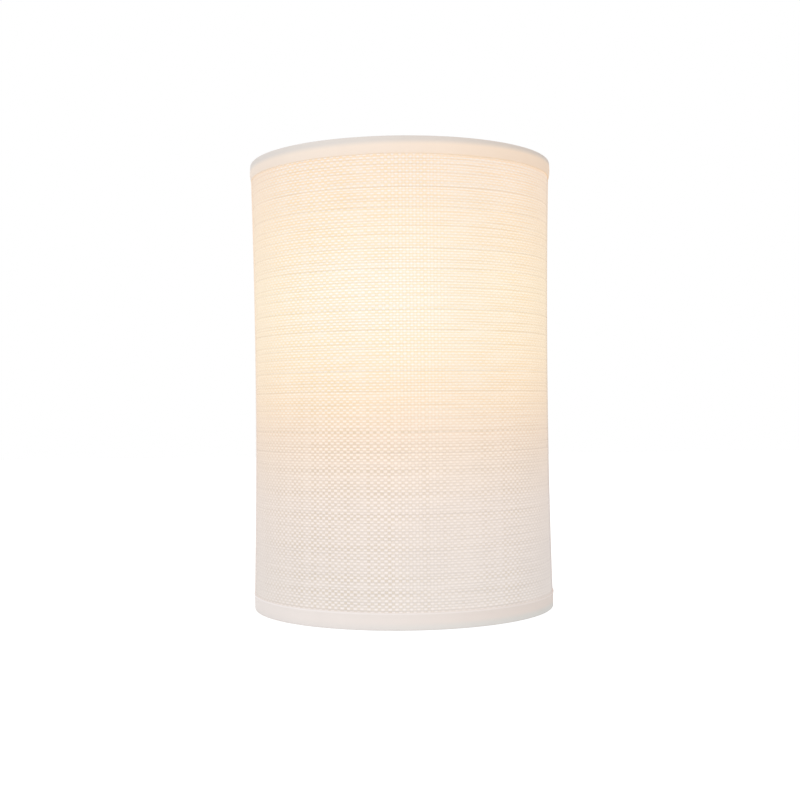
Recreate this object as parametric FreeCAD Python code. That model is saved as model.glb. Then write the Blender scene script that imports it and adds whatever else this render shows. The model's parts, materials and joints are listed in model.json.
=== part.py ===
import FreeCAD, Part

# Wall light with a half-round woven fabric shade.
#
# The light hangs on a wall. The wall is the plane y = 0, the room is on its -y side, +z is up and
# the origin is the middle of the wall strap's back face, half way up the shade. All sizes are in mm.
#
# Wall side:  a steel strap with two screw slots, a shallow steel tray that cap nuts hold on the
#             strap's studs, four hooks for the shade, the wiring, and an arm with a lampholder.
# Lamp:       a golf-ball lamp that screws into the holder. Its centre contact is kept apart.
# Shade:      a wire frame of two D-shaped rings, two stiles and two joggled crossbars, covered by a
#             stiff liner and a woven panel whose four edges are bound with folded tape.

import math
import os

Vector = FreeCAD.Vector
UP = Vector(0, 0, 1)
TO_ROOM = Vector(0, -1, 0)
SIDES = (-1, 1)

# ---------------------------------------------------------------- driving sizes

# Shade
shade_width = 190.0          # over the tape on both sides
shade_height = 280.0
shade_wall_gap = 4.0         # from the wall to the tape at the shade's rear edges
panel_waist = 2.0            # how far the panel is drawn in half way up
fabric_thickness = 0.6
liner_thickness = 0.4
glue_gap = 0.1               # between two glued layers
tape_thickness = 0.5
tape_slit = 0.08             # round the wire where a ring's corner leaves the tape
rim_tape_height = 10.4       # seen on the outside, top and bottom
rim_tape_turn_in = 10.0      # the same tape on the inside, below the rim
rim_tape_corner = 1.3        # rounding of the tape's outer corner over the rim
panel_rim_gap = 0.6          # between the panel's edge and the tape over it
edge_tape_width = 8.0        # tape along the vertical rear edges

# Wire frame
wire_diameter = 3.2
wire_liner_gap = 0.2
ring_corner_radius = 6.0     # bend where a ring's arc meets its straight back
ring_back_inset = 3.0        # from the arc's centre line to the straight back wire
stile_angle = 60.0           # where a stile meets a ring's corner bend, from the +x direction
crossbar_height = 82.0       # above and below the middle
joggle_bend = 5.0            # bend radius of a crossbar's joggle
joggle_side_gap = 5.0        # from the tray's side to the near end of the joggle
joggle_length = 8.0          # sideways, along the joggle's slope

# Tray and strap
tray_width = 110.0
tray_height = 190.0
tray_depth = 18.0
tray_wall = 1.2
tray_corner = 12.0
tray_edge = 3.0              # rounding between the tray's face and its sides
strap_length = 100.0
strap_width = 20.0
strap_corner = 9.9           # nearly half the width: rounded ends
strap_thickness = 2.0
wall_slot_spacing = 76.0
wall_slot_length = 12.0
wall_slot_width = 5.0
stud_spacing = 48.0
stud_diameter = 4.0
stud_clearance = 0.2         # in the tray's hole
press_clearance = 0.02       # where a stud is pressed in or a part is clamped
cap_nut_diameter = 9.0
cap_nut_straight = 3.0
cap_nut_depth = 5.0          # of its threaded bore
stud_end_gap = 0.5           # left at the bottom of a cap nut
screw_past_nut = 1.0

# Hooks for the shade
hook_spacing = 76.0
hook_width = 12.0
hook_thickness = 1.5
hook_clearance = 0.3         # round the crossbar
hook_lip = 6.0               # above the crossbar's centre
hook_leg = 13.0              # above the crossbar's centre, on the tray

# Lamp arm
lamp_reach = 57.0            # from the wall to the lamp's axis
arm_top = -48.5              # height of the shelf that carries the holder
arm_width = 20.0
arm_thickness = 1.5
arm_leg = 32.0               # up the tray's face, from the shelf's top
arm_bend = 3.0               # outer radius of the arm's bend
arm_screw_low = 9.0          # the lower screw above the shelf's top
arm_screw_spacing = 14.0
screw_diameter = 4.0
screw_clearance = 0.15       # round a screw in its hole
screw_head_diameter = 7.6
screw_head_height = 2.4
screw_slot_width = 1.0
screw_slot_depth = 1.0
nut_across_flats = 7.0
nut_height = 3.2

# Nipple and lampholder
nipple_diameter = 10.0
nipple_bore = 7.6
nipple_below = 7.5           # below the shelf's top
nipple_above = 8.5           # above the shelf's top
nipple_nut_flats = 14.0
nipple_nut_height = 3.0
nipple_washer_diameter = 17.0
nipple_washer_thickness = 0.8
holder_radius = 14.5
holder_wall = 1.8
holder_foot_radius = 8.5
holder_cap_height = 22.5
holder_skirt_height = 39.5
holder_floor = 5.0           # thickness of the cap's hub
holder_hub_radius = 8.0
holder_shoulder = 12.4       # above the shelf, where the cap's side starts
holder_curve_radius = 12.2   # of a point on the cap's curve
holder_curve_height = 4.5    # of the same point above the shelf
holder_terminal_offset = 6.35
holder_screw_length = 4.8
core_gap = 0.3
core_height = 16.0
thread_sleeve_wall = 0.4
thread_sleeve_gap = 0.3      # between the sleeve and the lamp's thread
thread_sleeve_drop = 4.0     # of the sleeve's top below the skirt's top
sleeve_flange = 1.0
contact_strip_width = 4.0
contact_strip_foot = 5.2     # from the axis to the strip's end
contact_strip_flat = 1.8     # half the length of its raised flat
contact_strip_thickness = 0.5
contact_gap = 0.3            # between the strip and the lamp at rest
contact_rise = 1.2           # of the strip above the core

# Golf-ball lamp with a small screw cap
lamp_length = 80.0
ball_radius = 22.5
ball_wall = 1.2
dome_share = 6.5             # the clear dome reaches this far below the ball's centre
housing_wall = 1.5
housing_neck_radius = 9.3
housing_neck_height = 2.0
housing_belly_radius = 16.9  # half way up the curve
housing_shelf_radius = 18.8
thread_radius = 6.95
thread_depth = 0.7
thread_pitch = 2.822
thread_turns = 4
thread_wall = 0.3
thread_margin = 1.9          # plain length above and below the turns
insulator_height = 3.8
insulator_step = 1.0
insulator_in_cap = 2.0
insulator_gap = 0.1
contact_pin_radius = 2.4
contact_pin_height = 1.2
contact_button_edge = 0.4    # the button is wider than its shank by this
led_board_radius = 17.0
led_board_thickness = 1.2
led_count = 8
led_circle_radius = 11.0
led_size = 2.8
led_height = 0.7
driver_board_width = 12.0
driver_board_height = 18.0
driver_board_thickness = 1.2

# Wiring
lead_diameter = 2.2
lead_spread = 1.15           # of each lead from the middle of the pair
sleeving_diameter = 5.6
sleeving_wall = 0.4
bend_radius = 11.0           # largest bend of a lead or its sleeving
bend_share = 0.45            # of the shorter run beside a bend that the bend may take
sleeving_height = -60.0      # where the pair leaves the tray
sleeving_drop = 14.0         # how far the pair hangs below that
sleeving_start = 14.2        # from the wall to the sleeving's rear end
sleeving_leave = 6.0         # straight out of the tray's face before it drops
sleeving_slope = 16.0        # how far it goes towards the lamp while it drops
sleeving_stop = 2.0          # below the nipple's upper end
lead_parting = 2.0           # above the nipple's upper end, where the leads part
lead_turn = 6.0              # from the wall to where a lead turns towards the grommet
lead_drop_height = -20.0     # where the leads start to close up on their way down
lead_into_tube = 4.0
lead_spread_height = 7.0     # over which the leads part inside the holder
earth_lead_drop = 4.0        # straight below the terminal block
earth_lead_slope = 4.0
grommet_flange = 2.2
grommet_flange_thickness = 1.2
grommet_flange_bevel = 0.6
grommet_wall = 1.2
pole_spacing = 9.0
terminal_height = 34.0       # of the terminal block's lower end
terminal_length = 17.0
terminal_width = 29.0
terminal_depth = 11.0
terminal_entry = 3.4         # diameter of a wire entry
terminal_tube_wall = 0.6
terminal_tube_length = 13.0
terminal_screw_diameter = 2.6
terminal_screw_sink = 0.5
terminal_screw_length = 3.6
terminal_screw_spacing = 7.0
grub_slot_width = 0.5
terminal_fixing_diameter = 2.9
terminal_fixing_head = 5.0
terminal_fixing_head_height = 1.8
earth_screw_height = 18.0
earth_tag_radius = 4.2
earth_tag_thickness = 0.8
earth_barrel_diameter = 3.4
earth_barrel_length = 3.8
earth_neck_overlap = 1.0     # solid end of the barrel, over the tag's neck
earth_lead_end_gap = 0.5     # from there to the lead's end

# ---------------------------------------------------------------- places worked out from the sizes

wire_radius = wire_diameter / 2
rim = shade_height / 2
tape_radius = shade_width / 2
shade_centre_y = -(shade_wall_gap + tape_thickness + glue_gap)
fabric_radius = tape_radius - tape_thickness - glue_gap
liner_radius = fabric_radius - fabric_thickness - glue_gap
liner_inner_radius = liner_radius - liner_thickness
ring_radius = liner_inner_radius - wire_liner_gap - wire_radius
panel_edge = rim - tape_thickness - panel_rim_gap
ring_height = rim - tape_thickness - glue_gap - wire_radius

tray_face = -tray_depth
crossbar_y = tray_face - hook_thickness - hook_clearance - wire_radius

lamp_y = -lamp_reach
holder_top = arm_top + holder_cap_height + holder_skirt_height
core_bottom = arm_top + holder_cap_height
core_top = core_bottom + core_height
lamp_bottom = core_top + contact_rise + contact_strip_thickness + contact_gap
cap_bottom = lamp_bottom + contact_pin_height + insulator_height
cap_top = cap_bottom + thread_turns * thread_pitch + 2 * thread_margin
ball_centre = lamp_bottom + lamp_length - ball_radius
dome_bottom = ball_centre - dome_share
dome_bottom_radius = math.sqrt(ball_radius ** 2 - dome_share ** 2)

grommet_hole_radius = sleeving_diameter / 2 + grommet_wall
terminal_back = tray_face + tray_wall + terminal_depth
terminal_axis_y = tray_face + tray_wall + terminal_depth / 2
terminal_middle = terminal_height + terminal_length / 2
earth_barrel_y = tray_face + tray_wall + earth_barrel_diameter / 2
terminal_entry_height = terminal_middle - terminal_tube_length / 2
holder_inner_radius = holder_radius - holder_wall
core_radius = holder_inner_radius - core_gap
thread_root = thread_radius - thread_depth
neck_top = cap_top + housing_neck_height


# ---------------------------------------------------------------- shapes used by several pieces

def cylinder(radius, length, base, direction=UP):
    """Round bar from its base along a direction."""
    return Part.makeCylinder(radius, length, base, direction)


def tube(outer, inner, length, base, direction=UP):
    """Round bar with a bore right through."""
    return cylinder(outer, length, base, direction).cut(cylinder(inner, length, base, direction))


def block(x, y, z):
    """Box between two limits on each axis, in any order."""
    low = Vector(min(x), min(y), min(z))
    return Part.makeBox(abs(x[1] - x[0]), abs(y[1] - y[0]), abs(z[1] - z[0]), low)


def edges_through(place, start, *steps):
    """Edges in a row. Each step is a point to draw a line to, or a (middle, end) pair for an arc."""
    edges = []
    here = start
    for step in steps:
        if isinstance(step[0], tuple):
            middle, end = step
            edges.append(Part.Arc(place(*here), place(*middle), place(*end)).toShape())
        else:
            end = step
            edges.append(Part.LineSegment(place(*here), place(*end)).toShape())
        here = end
    return edges


def outline(place, start, *steps):
    """Closed wire through the steps, which end away from the start."""
    last = steps[-1][1] if isinstance(steps[-1][0], tuple) else steps[-1]
    closing = Part.LineSegment(place(*last), place(*start)).toShape()
    return Part.Wire(edges_through(place, start, *steps) + [closing])


def turned(wire, axis_y, sweep=360.0):
    """Solid made by turning an outline about the upright line at x = 0, y = axis_y."""
    return Part.Face(wire).revolve(Vector(0, axis_y, 0), UP, sweep)


def on_lamp(radius, height):
    """Point of a lathe outline round the lamp's axis."""
    return Vector(radius, lamp_y, height)


def lamp_turned(start, *steps):
    """Solid of revolution round the lamp's axis."""
    return turned(outline(on_lamp, start, *steps), lamp_y)


def on_arc(centre, radius, degrees):
    """Point on a circle in an outline's plane."""
    angle = math.radians(degrees)
    return (centre[0] + radius * math.cos(angle), centre[1] + radius * math.sin(angle))


def rounded_prism(width, height, corner, y_back, y_front):
    """Upright plate or block with rounded corners, centred on x = 0 and z = 0."""
    body = block((-width / 2, width / 2), (y_back, y_front), (-height / 2, height / 2))
    corners = [e for e in body.Edges if abs(e.tangentAt(e.FirstParameter).y) > 0.5]
    return body.makeFillet(corner, corners)


def bent_path(points, largest_bend):
    """Straight runs through the points, joined by arcs that touch them."""
    edges = []
    here = points[0]
    for before, corner, after in zip(points, points[1:], points[2:]):
        shorter = min((before - corner).Length, (after - corner).Length)
        back = (before - corner).normalize()
        ahead = (after - corner).normalize()
        half_turn = (math.pi - back.getAngle(ahead)) / 2
        bend = min(largest_bend, bend_share * shorter / math.tan(half_turn))
        trim = bend * math.tan(half_turn)
        start = corner + back * trim
        end = corner + ahead * trim
        inward = (back + ahead).normalize()
        middle = corner + inward * (bend / math.cos(half_turn) - bend)
        edges.append(Part.LineSegment(here, start).toShape())
        edges.append(Part.Arc(start, middle, end).toShape())
        here = end
    edges.append(Part.LineSegment(here, points[-1]).toShape())
    return Part.Wire(edges)


def swept_round(path, radius):
    """Round bar along a smooth path."""
    start = path.Edges[0].valueAt(path.Edges[0].FirstParameter)
    heading = path.Edges[0].tangentAt(path.Edges[0].FirstParameter)
    section = Part.Wire([Part.makeCircle(radius, start, heading)])
    return path.makePipeShell([section], True, False)


def bent_rod(points, radius, largest_bend):
    """Round bar along straight runs and arcs."""
    return swept_round(bent_path(points, largest_bend), radius)


def hexagon(flats, height, base, direction=UP):
    """Six-sided bar from its base along a direction."""
    corner_radius = flats / math.sqrt(3)
    turn = FreeCAD.Rotation(UP, direction)
    corners = []
    for step in range(6):
        angle = math.radians(60 * step)
        flat_point = Vector(corner_radius * math.cos(angle), corner_radius * math.sin(angle), 0)
        corners.append(base + turn.multVec(flat_point))
    face = Part.Face(Part.makePolygon(corners + corners[:1]))
    return face.extrude(direction * height)


def cheese_head_screw(seat, inward, shank_length, diameter, head_diameter, head_height):
    """Slotted screw. Seat is the middle of the head's underside, and inward the way its shank goes."""
    outward = inward * -1
    head = cylinder(head_diameter / 2, head_height, seat, outward)
    shank = cylinder(diameter / 2, shank_length, seat, inward)
    slot = block((-screw_slot_width / 2, screw_slot_width / 2),
                 (-head_diameter, head_diameter),
                 (head_height - screw_slot_depth, head_height + screw_slot_depth))
    slot.Placement = FreeCAD.Placement(seat, FreeCAD.Rotation(UP, outward))
    return head.fuse(shank).removeSplitter().cut(slot)


# ---------------------------------------------------------------- shade

def drawn_in(radius, height):
    """Radius at a height of a surface that has the given radius at both rims and a waist between."""
    bow = (rim ** 2 + panel_waist ** 2) / (2 * panel_waist)
    return radius - panel_waist + bow - math.sqrt(bow ** 2 - height ** 2)


def on_shade_end(radius, height):
    """Point of an outline at the shade's -x end, where its half turn starts."""
    return Vector(-radius, shade_centre_y, height)


def panel_sector(inner, outer, low, high, start=0.0, sweep=180.0):
    """Part of a waisted sheet round the shade, from a start angle through a sweep."""
    middle = (low + high) / 2
    wire = outline(
        on_shade_end,
        (drawn_in(outer, low), low),
        ((drawn_in(outer, middle), middle), (drawn_in(outer, high), high)),
        (drawn_in(inner, high), high),
        ((drawn_in(inner, middle), middle), (drawn_in(inner, low), low)),
    )
    wire.rotate(Vector(0, shade_centre_y, 0), UP, start)
    return turned(wire, shade_centre_y, sweep)


def shade_fabric():
    """Woven outer panel, a half turn."""
    return panel_sector(fabric_radius - fabric_thickness, fabric_radius, -panel_edge, panel_edge)


def shade_liner():
    """Stiff translucent sheet that the fabric is laminated to."""
    return panel_sector(liner_inner_radius, liner_radius, -panel_edge, panel_edge)


def ring_corner_x():
    """Distance from the middle to the centre of a ring's corner bend."""
    drop = ring_back_inset + ring_corner_radius
    return math.sqrt((ring_radius - ring_corner_radius) ** 2 - drop ** 2)


def ring_corner_centre(side):
    """Centre of the bend at a ring's corner, seen from above."""
    return (side * ring_corner_x(), shade_centre_y - ring_back_inset - ring_corner_radius)


def stile_place(side):
    """Where a stile stands: on the ring's corner bend, seen from above."""
    degrees = stile_angle if side > 0 else 180 - stile_angle
    return on_arc(ring_corner_centre(side), ring_corner_radius, degrees)


def ring_path(height):
    """Centre line of a D-shaped ring: a long arc round the front and a straight back."""
    back_y = shade_centre_y - ring_back_inset
    centres = {side: ring_corner_centre(side) for side in SIDES}

    def at_height(x, y):
        return Vector(x, y, height)

    def bend_meets_arc(side):
        """The bend touches the big arc on the line through both centres."""
        dx = centres[side][0]
        dy = centres[side][1] - shade_centre_y
        scale = ring_radius / math.hypot(dx, dy)
        return (dx * scale, shade_centre_y + dy * scale)

    back_left = (centres[-1][0], back_y)
    back_right = (centres[1][0], back_y)
    middle = (0, back_y)
    # The path starts in the middle of the straight back, where its ends meet on a flat section.
    return Part.Wire(edges_through(
        at_height,
        middle,
        back_left,
        (stile_place(-1), bend_meets_arc(-1)),
        ((0, shade_centre_y - ring_radius), bend_meets_arc(1)),
        (stile_place(1), back_right),
        middle,
    ))


def frame_ring(height):
    """Wire ring at a height."""
    return swept_round(ring_path(height), wire_radius)


def stile(side):
    """Upright wire between the two rings, welded under their corner bends."""
    x, y = stile_place(side)
    reach = ring_height - wire_radius
    return cylinder(wire_radius, 2 * reach, Vector(x, y, -reach))


def crossbar(height):
    """Wire between the stiles that steps forward over the tray and rests in two hooks."""
    x, y = stile_place(1)
    near = tray_width / 2 + joggle_side_gap
    far = near + joggle_length
    half = [
        Vector(x - wire_radius, y, height),
        Vector(far, y, height),
        Vector(near, crossbar_y, height),
    ]
    mirrored = [Vector(-p.x, p.y, p.z) for p in reversed(half)]
    return bent_rod(half + mirrored, wire_radius, joggle_bend)


def rim_tape(flip):
    """Tape folded over a rim: outside leg, round the wire, and along the liner inside.

    flip is 1 for the top rim and -1 for the bottom one. The tape is slit where the ring's corners
    leave it.
    """
    wrap_inner = wire_radius + glue_gap
    wrap_outer = wrap_inner + tape_thickness
    wrap = (ring_radius, ring_height)
    foot_outer = liner_inner_radius - glue_gap
    foot_inner = foot_outer - tape_thickness
    foot_end = rim - rim_tape_turn_in
    corner_inner = rim_tape_corner - tape_thickness
    leg_inner = tape_radius - tape_thickness
    corner_centre = (tape_radius - rim_tape_corner, rim - rim_tape_corner)
    under_outer = ring_height - wrap_outer
    under_inner = ring_height - wrap_inner

    def place(radius, height):
        return on_shade_end(radius, flip * height)

    wire = outline(
        place,
        (tape_radius, rim - rim_tape_height),
        (tape_radius, corner_centre[1]),
        (on_arc(corner_centre, rim_tape_corner, 45), (corner_centre[0], rim)),
        (ring_radius, ring_height + wrap_outer),
        (on_arc(wrap, wrap_outer, 180), (ring_radius, under_outer)),
        (drawn_in(foot_inner, under_outer), under_outer),
        (drawn_in(foot_inner, foot_end), foot_end),
        (drawn_in(foot_outer, foot_end), foot_end),
        (drawn_in(foot_outer, under_inner), under_inner),
        (ring_radius, under_inner),
        (on_arc(wrap, wrap_inner, 180), (ring_radius, ring_height + wrap_inner)),
        (corner_centre[0], rim - tape_thickness),
        (on_arc(corner_centre, corner_inner, 45), (leg_inner, corner_centre[1])),
        (leg_inner, rim - rim_tape_height),
    )
    slit = swept_round(ring_path(flip * ring_height), wire_radius + tape_slit)
    return turned(wire, shade_centre_y, 180.0).cut(slit)


def edge_tape(side):
    """Tape folded round one upright rear edge of the panel, between the two rim tapes."""
    low = glue_gap - (rim - max(rim_tape_height, rim_tape_turn_in))
    outer_skin = fabric_radius + glue_gap
    inner_skin = liner_inner_radius - glue_gap
    leg = math.degrees(edge_tape_width / fabric_radius)
    past_edge = math.degrees(glue_gap / fabric_radius)
    closing = math.degrees(tape_thickness / fabric_radius)
    start = -(past_edge + closing)
    legs = [(outer_skin, outer_skin + tape_thickness), (inner_skin - tape_thickness, inner_skin)]
    pieces = [panel_sector(a, b, low, -low, start, leg - start) for a, b in legs]
    pieces.append(panel_sector(legs[1][0], legs[0][1], low, -low, start, closing))
    tape = pieces[0].multiFuse(pieces[1:]).removeSplitter()
    if side > 0:
        tape = tape.mirror(Vector(0, 0, 0), Vector(1, 0, 0))
    return tape


# ---------------------------------------------------------------- tray, strap and hooks

def lamp_arm_screw_heights():
    """Heights of the two screws that hold the arm on the tray."""
    low = arm_top + arm_screw_low
    return (low, low + arm_screw_spacing)


def through_face(x, z, radius):
    """Round cutter through the tray's face."""
    return cylinder(radius, 2 * tray_wall, Vector(x, tray_face - tray_wall / 2, z), TO_ROOM * -1)


def dished_block(inset):
    """The tray's outer form, or its hollow when inset by the sheet's thickness."""
    face = tray_face + inset
    body = rounded_prism(tray_width - 2 * inset, tray_height - 2 * inset,
                         tray_corner - inset, 0, face)
    face_edges = [e for e in body.Edges if abs(e.CenterOfMass.y - face) < 1e-6]
    return body.makeFillet(tray_edge - inset, face_edges)


def back_tray():
    """Shallow steel tray, open at the wall, with holes for its studs, screws and flex."""
    tray = dished_block(0).cut(dished_block(tray_wall))
    screw_hole = screw_diameter / 2 + screw_clearance
    cutters = [through_face(s * stud_spacing / 2, 0, (stud_diameter + stud_clearance) / 2)
               for s in SIDES]
    cutters += [through_face(0, z, screw_hole) for z in lamp_arm_screw_heights()]
    cutters.append(through_face(0, sleeving_height, grommet_hole_radius))
    cutters.append(through_face(0, earth_screw_height, screw_diameter / 2 + press_clearance))
    cutters += [through_face(s * pole_spacing / 2, terminal_middle,
                             terminal_fixing_diameter / 2 + press_clearance) for s in SIDES]
    return tray.cut(Part.makeCompound(cutters))


def wall_strap():
    """Flat steel strap with rounded ends, two wall screw slots and two stud holes."""
    strap = rounded_prism(strap_length, strap_width, strap_corner, 0, -strap_thickness)
    for side in SIDES:
        middle = side * wall_slot_spacing / 2
        straight = (wall_slot_length - wall_slot_width) / 2
        cutters = [block((middle - straight, middle + straight), (0, -strap_thickness),
                         (-wall_slot_width / 2, wall_slot_width / 2))]
        cutters += [cylinder(wall_slot_width / 2, strap_thickness,
                             Vector(middle + end * straight, 0, 0), TO_ROOM) for end in SIDES]
        cutters.append(cylinder(stud_diameter / 2 + press_clearance, strap_thickness,
                                Vector(side * stud_spacing / 2, 0, 0), TO_ROOM))
        for cutter in cutters:
            strap = strap.cut(cutter)
    return strap


def strap_studs():
    """Two studs pressed into the strap, long enough for the cap nuts."""
    length = tray_depth + cap_nut_depth - stud_end_gap
    return [cylinder(stud_diameter / 2, length, Vector(s * stud_spacing / 2, 0, 0), TO_ROOM)
            for s in SIDES]


def cap_nuts():
    """Two domed nuts that hold the tray against the wall."""
    radius = cap_nut_diameter / 2
    nuts = []
    for side in SIDES:
        seat = Vector(side * stud_spacing / 2, tray_face, 0)
        body = cylinder(radius, cap_nut_straight, seat, TO_ROOM)
        dome_centre = seat + TO_ROOM * cap_nut_straight
        dome = Part.makeSphere(radius, dome_centre)
        dome = dome.common(cylinder(radius, radius, dome_centre, TO_ROOM))
        bore = cylinder(stud_diameter / 2 + press_clearance, cap_nut_depth, seat, TO_ROOM)
        nuts.append(body.fuse(dome).removeSplitter().cut(bore))
    return nuts


def shade_hook(side, height):
    """J-shaped steel hook welded to the tray's face, round the crossbar with a small clearance."""
    inner = wire_radius + hook_clearance
    outer = inner + hook_thickness
    centre = (crossbar_y, height)

    def place(y, z):
        return Vector(side * hook_spacing / 2 - hook_width / 2, y, z)

    wire = outline(
        place,
        (tray_face, height + hook_leg),
        (tray_face, height),
        (on_arc(centre, outer, 270), (crossbar_y - outer, height)),
        (crossbar_y - outer, height + hook_lip),
        (crossbar_y - inner, height + hook_lip),
        (crossbar_y - inner, height),
        (on_arc(centre, inner, 270), (crossbar_y + inner, height)),
        (crossbar_y + inner, height + hook_leg),
    )
    return Part.Face(wire).extrude(Vector(hook_width, 0, 0))


# ---------------------------------------------------------------- lamp arm and lampholder

def lamp_arm():
    """Bent strap: a leg on the tray's face and a shelf with a rounded end under the holder."""
    shelf_end = lamp_y - arm_width / 2
    inner_bend = arm_bend - arm_thickness
    corner = (tray_face - arm_bend, arm_top - arm_thickness + arm_bend)
    leg_top = arm_top + arm_leg

    def place(y, z):
        return Vector(-arm_width / 2, y, z)

    wire = outline(
        place,
        (tray_face, leg_top),
        (tray_face, corner[1]),
        (on_arc(corner, arm_bend, -45), (corner[0], arm_top - arm_thickness)),
        (shelf_end, arm_top - arm_thickness),
        (shelf_end, arm_top),
        (corner[0], arm_top),
        (on_arc(corner, inner_bend, -45), (tray_face - arm_thickness, corner[1])),
        (tray_face - arm_thickness, leg_top),
    )
    arm = Part.Face(wire).extrude(Vector(arm_width, 0, 0))
    square_end = block((-arm_width, arm_width), (lamp_y, lamp_y - arm_width),
                       (arm_top - 2 * arm_thickness, arm_top + arm_thickness))
    round_end = cylinder(arm_width / 2, 4 * arm_thickness,
                         Vector(0, lamp_y, arm_top - 2 * arm_thickness))
    arm = arm.cut(square_end.cut(round_end))
    arm = arm.cut(cylinder(nipple_diameter / 2 + press_clearance, 3 * arm_thickness,
                           Vector(0, lamp_y, arm_top - 2 * arm_thickness)))
    for height in lamp_arm_screw_heights():
        arm = arm.cut(cylinder(screw_diameter / 2 + screw_clearance, 2 * arm_thickness,
                               Vector(0, tray_face + arm_thickness / 2, height), TO_ROOM))
    return arm


def arm_screws():
    """Two slotted screws that hold the arm."""
    reach = arm_thickness + tray_wall + nut_height + screw_past_nut
    return [cheese_head_screw(Vector(0, tray_face - arm_thickness, z), TO_ROOM * -1, reach,
                              screw_diameter, screw_head_diameter, screw_head_height)
            for z in lamp_arm_screw_heights()]


def arm_nuts():
    """Two nuts behind the tray's face."""
    nuts = []
    for height in lamp_arm_screw_heights():
        seat = Vector(0, tray_face + tray_wall, height)
        nut = hexagon(nut_across_flats, nut_height, seat, TO_ROOM * -1)
        bore = cylinder(screw_diameter / 2 + press_clearance, nut_height, seat, TO_ROOM * -1)
        nuts.append(nut.cut(bore))
    return nuts


def nipple():
    """Hollow threaded tube that clamps the holder to the arm and lets the leads through."""
    base = Vector(0, lamp_y, arm_top - nipple_below)
    return tube(nipple_diameter / 2, nipple_bore / 2, nipple_below + nipple_above, base)


def nipple_washer():
    """Flat washer under the shelf."""
    base = Vector(0, lamp_y, arm_top - arm_thickness - nipple_washer_thickness)
    return tube(nipple_washer_diameter / 2, nipple_diameter / 2 + press_clearance,
                nipple_washer_thickness, base)


def nipple_nut():
    """Hexagonal nut under the washer."""
    base = Vector(0, lamp_y,
                  arm_top - arm_thickness - nipple_washer_thickness - nipple_nut_height)
    nut = hexagon(nipple_nut_flats, nipple_nut_height, base)
    return nut.cut(cylinder(nipple_diameter / 2 + press_clearance, nipple_nut_height, base))


def holder_cap():
    """Bell-shaped lower half of the lampholder, on the shelf."""
    bore = nipple_diameter / 2 + press_clearance
    shoulder = arm_top + holder_shoulder
    floor = arm_top + holder_floor
    return lamp_turned(
        (bore, arm_top),
        (holder_foot_radius, arm_top),
        ((holder_curve_radius, arm_top + holder_curve_height), (holder_radius, shoulder)),
        (holder_radius, core_bottom),
        (core_radius, core_bottom),
        (core_radius, shoulder),
        (holder_hub_radius, floor),
        (bore, floor),
    )


def holder_skirt():
    """Plain round skirt round the holder's core and thread sleeve."""
    return tube(holder_radius, holder_inner_radius, holder_skirt_height,
                Vector(0, lamp_y, core_bottom))


def holder_terminal_place(side):
    """Where a lead meets the holder's core."""
    return Vector(side * holder_terminal_offset, lamp_y, core_bottom)


def holder_screw(side, radius, length):
    """Grub screw, or its hole, from the core's side towards the lead."""
    seat = Vector(side * core_radius, lamp_y, core_bottom + core_height / 3)
    return cylinder(radius, length, seat, Vector(-side, 0, 0))


def holder_core():
    """Insulating core that carries the contacts, with a blind hole and a screw for each lead."""
    core = cylinder(core_radius, core_height, Vector(0, lamp_y, core_bottom))
    lead_hole = lead_diameter / 2 + glue_gap
    screw_hole = terminal_screw_diameter / 2 + press_clearance
    hole_depth = core_radius - holder_terminal_offset
    for side in SIDES:
        core = core.cut(cylinder(lead_hole, core_height / 2, holder_terminal_place(side)))
        core = core.cut(holder_screw(side, screw_hole, hole_depth))
    return core


def holder_screws():
    """Two grub screws that clamp the leads in the core."""
    return [holder_screw(side, terminal_screw_diameter / 2, holder_screw_length)
            for side in SIDES]


def thread_sleeve():
    """Metal sleeve for the lamp's screw cap, with a flange that closes the skirt's mouth."""
    inner = thread_radius + thread_sleeve_gap
    outer = inner + thread_sleeve_wall
    top = holder_top - thread_sleeve_drop
    return lamp_turned(
        (inner, core_top),
        (outer, core_top),
        (outer, top - sleeve_flange),
        (core_radius, top - sleeve_flange),
        (core_radius, top),
        (inner, top),
    )


def centre_contact():
    """Bent spring strip under the lamp's centre contact."""
    foot = contact_strip_foot
    flat = contact_strip_flat
    thick = contact_strip_thickness
    high = core_top + contact_rise

    def place(x, z):
        return Vector(x, lamp_y - contact_strip_width / 2, z)

    wire = outline(
        place,
        (-foot, core_top),
        (-foot, core_top + thick),
        (-flat, high + thick),
        (flat, high + thick),
        (flat, high),
        (-flat, high),
        (-flat - thick, core_top),
    )
    return Part.Face(wire).extrude(Vector(0, contact_strip_width, 0))


# ---------------------------------------------------------------- golf-ball lamp

def bulb_dome():
    """Opal dome: more than half of a hollow ball."""
    centre = (0, ball_centre)
    inner_radius = ball_radius - ball_wall
    tilt = math.degrees(math.asin(dome_share / ball_radius))
    inner_tilt = math.degrees(math.asin(dome_share / inner_radius))
    return lamp_turned(
        on_arc(centre, ball_radius, -tilt),
        (on_arc(centre, ball_radius, 45), on_arc(centre, ball_radius, 90)),
        on_arc(centre, inner_radius, 90),
        (on_arc(centre, inner_radius, 45), on_arc(centre, inner_radius, -inner_tilt)),
    )


def bulb_housing():
    """Hollow body between the dome and the screw cap, with a shelf for the LED board."""
    middle = (neck_top + dome_bottom) / 2
    shelf_hole = led_board_radius - housing_wall
    bore = thread_root + press_clearance
    return lamp_turned(
        (bore, cap_top),
        (housing_neck_radius, cap_top),
        (housing_neck_radius, neck_top),
        ((housing_belly_radius, middle), (dome_bottom_radius, dome_bottom)),
        (shelf_hole, dome_bottom),
        (shelf_hole, dome_bottom - housing_wall),
        (housing_shelf_radius, dome_bottom - housing_wall),
        ((housing_belly_radius - housing_wall, middle - housing_wall / 2),
         (housing_neck_radius - housing_wall, neck_top)),
        (bore, neck_top),
    )


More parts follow.
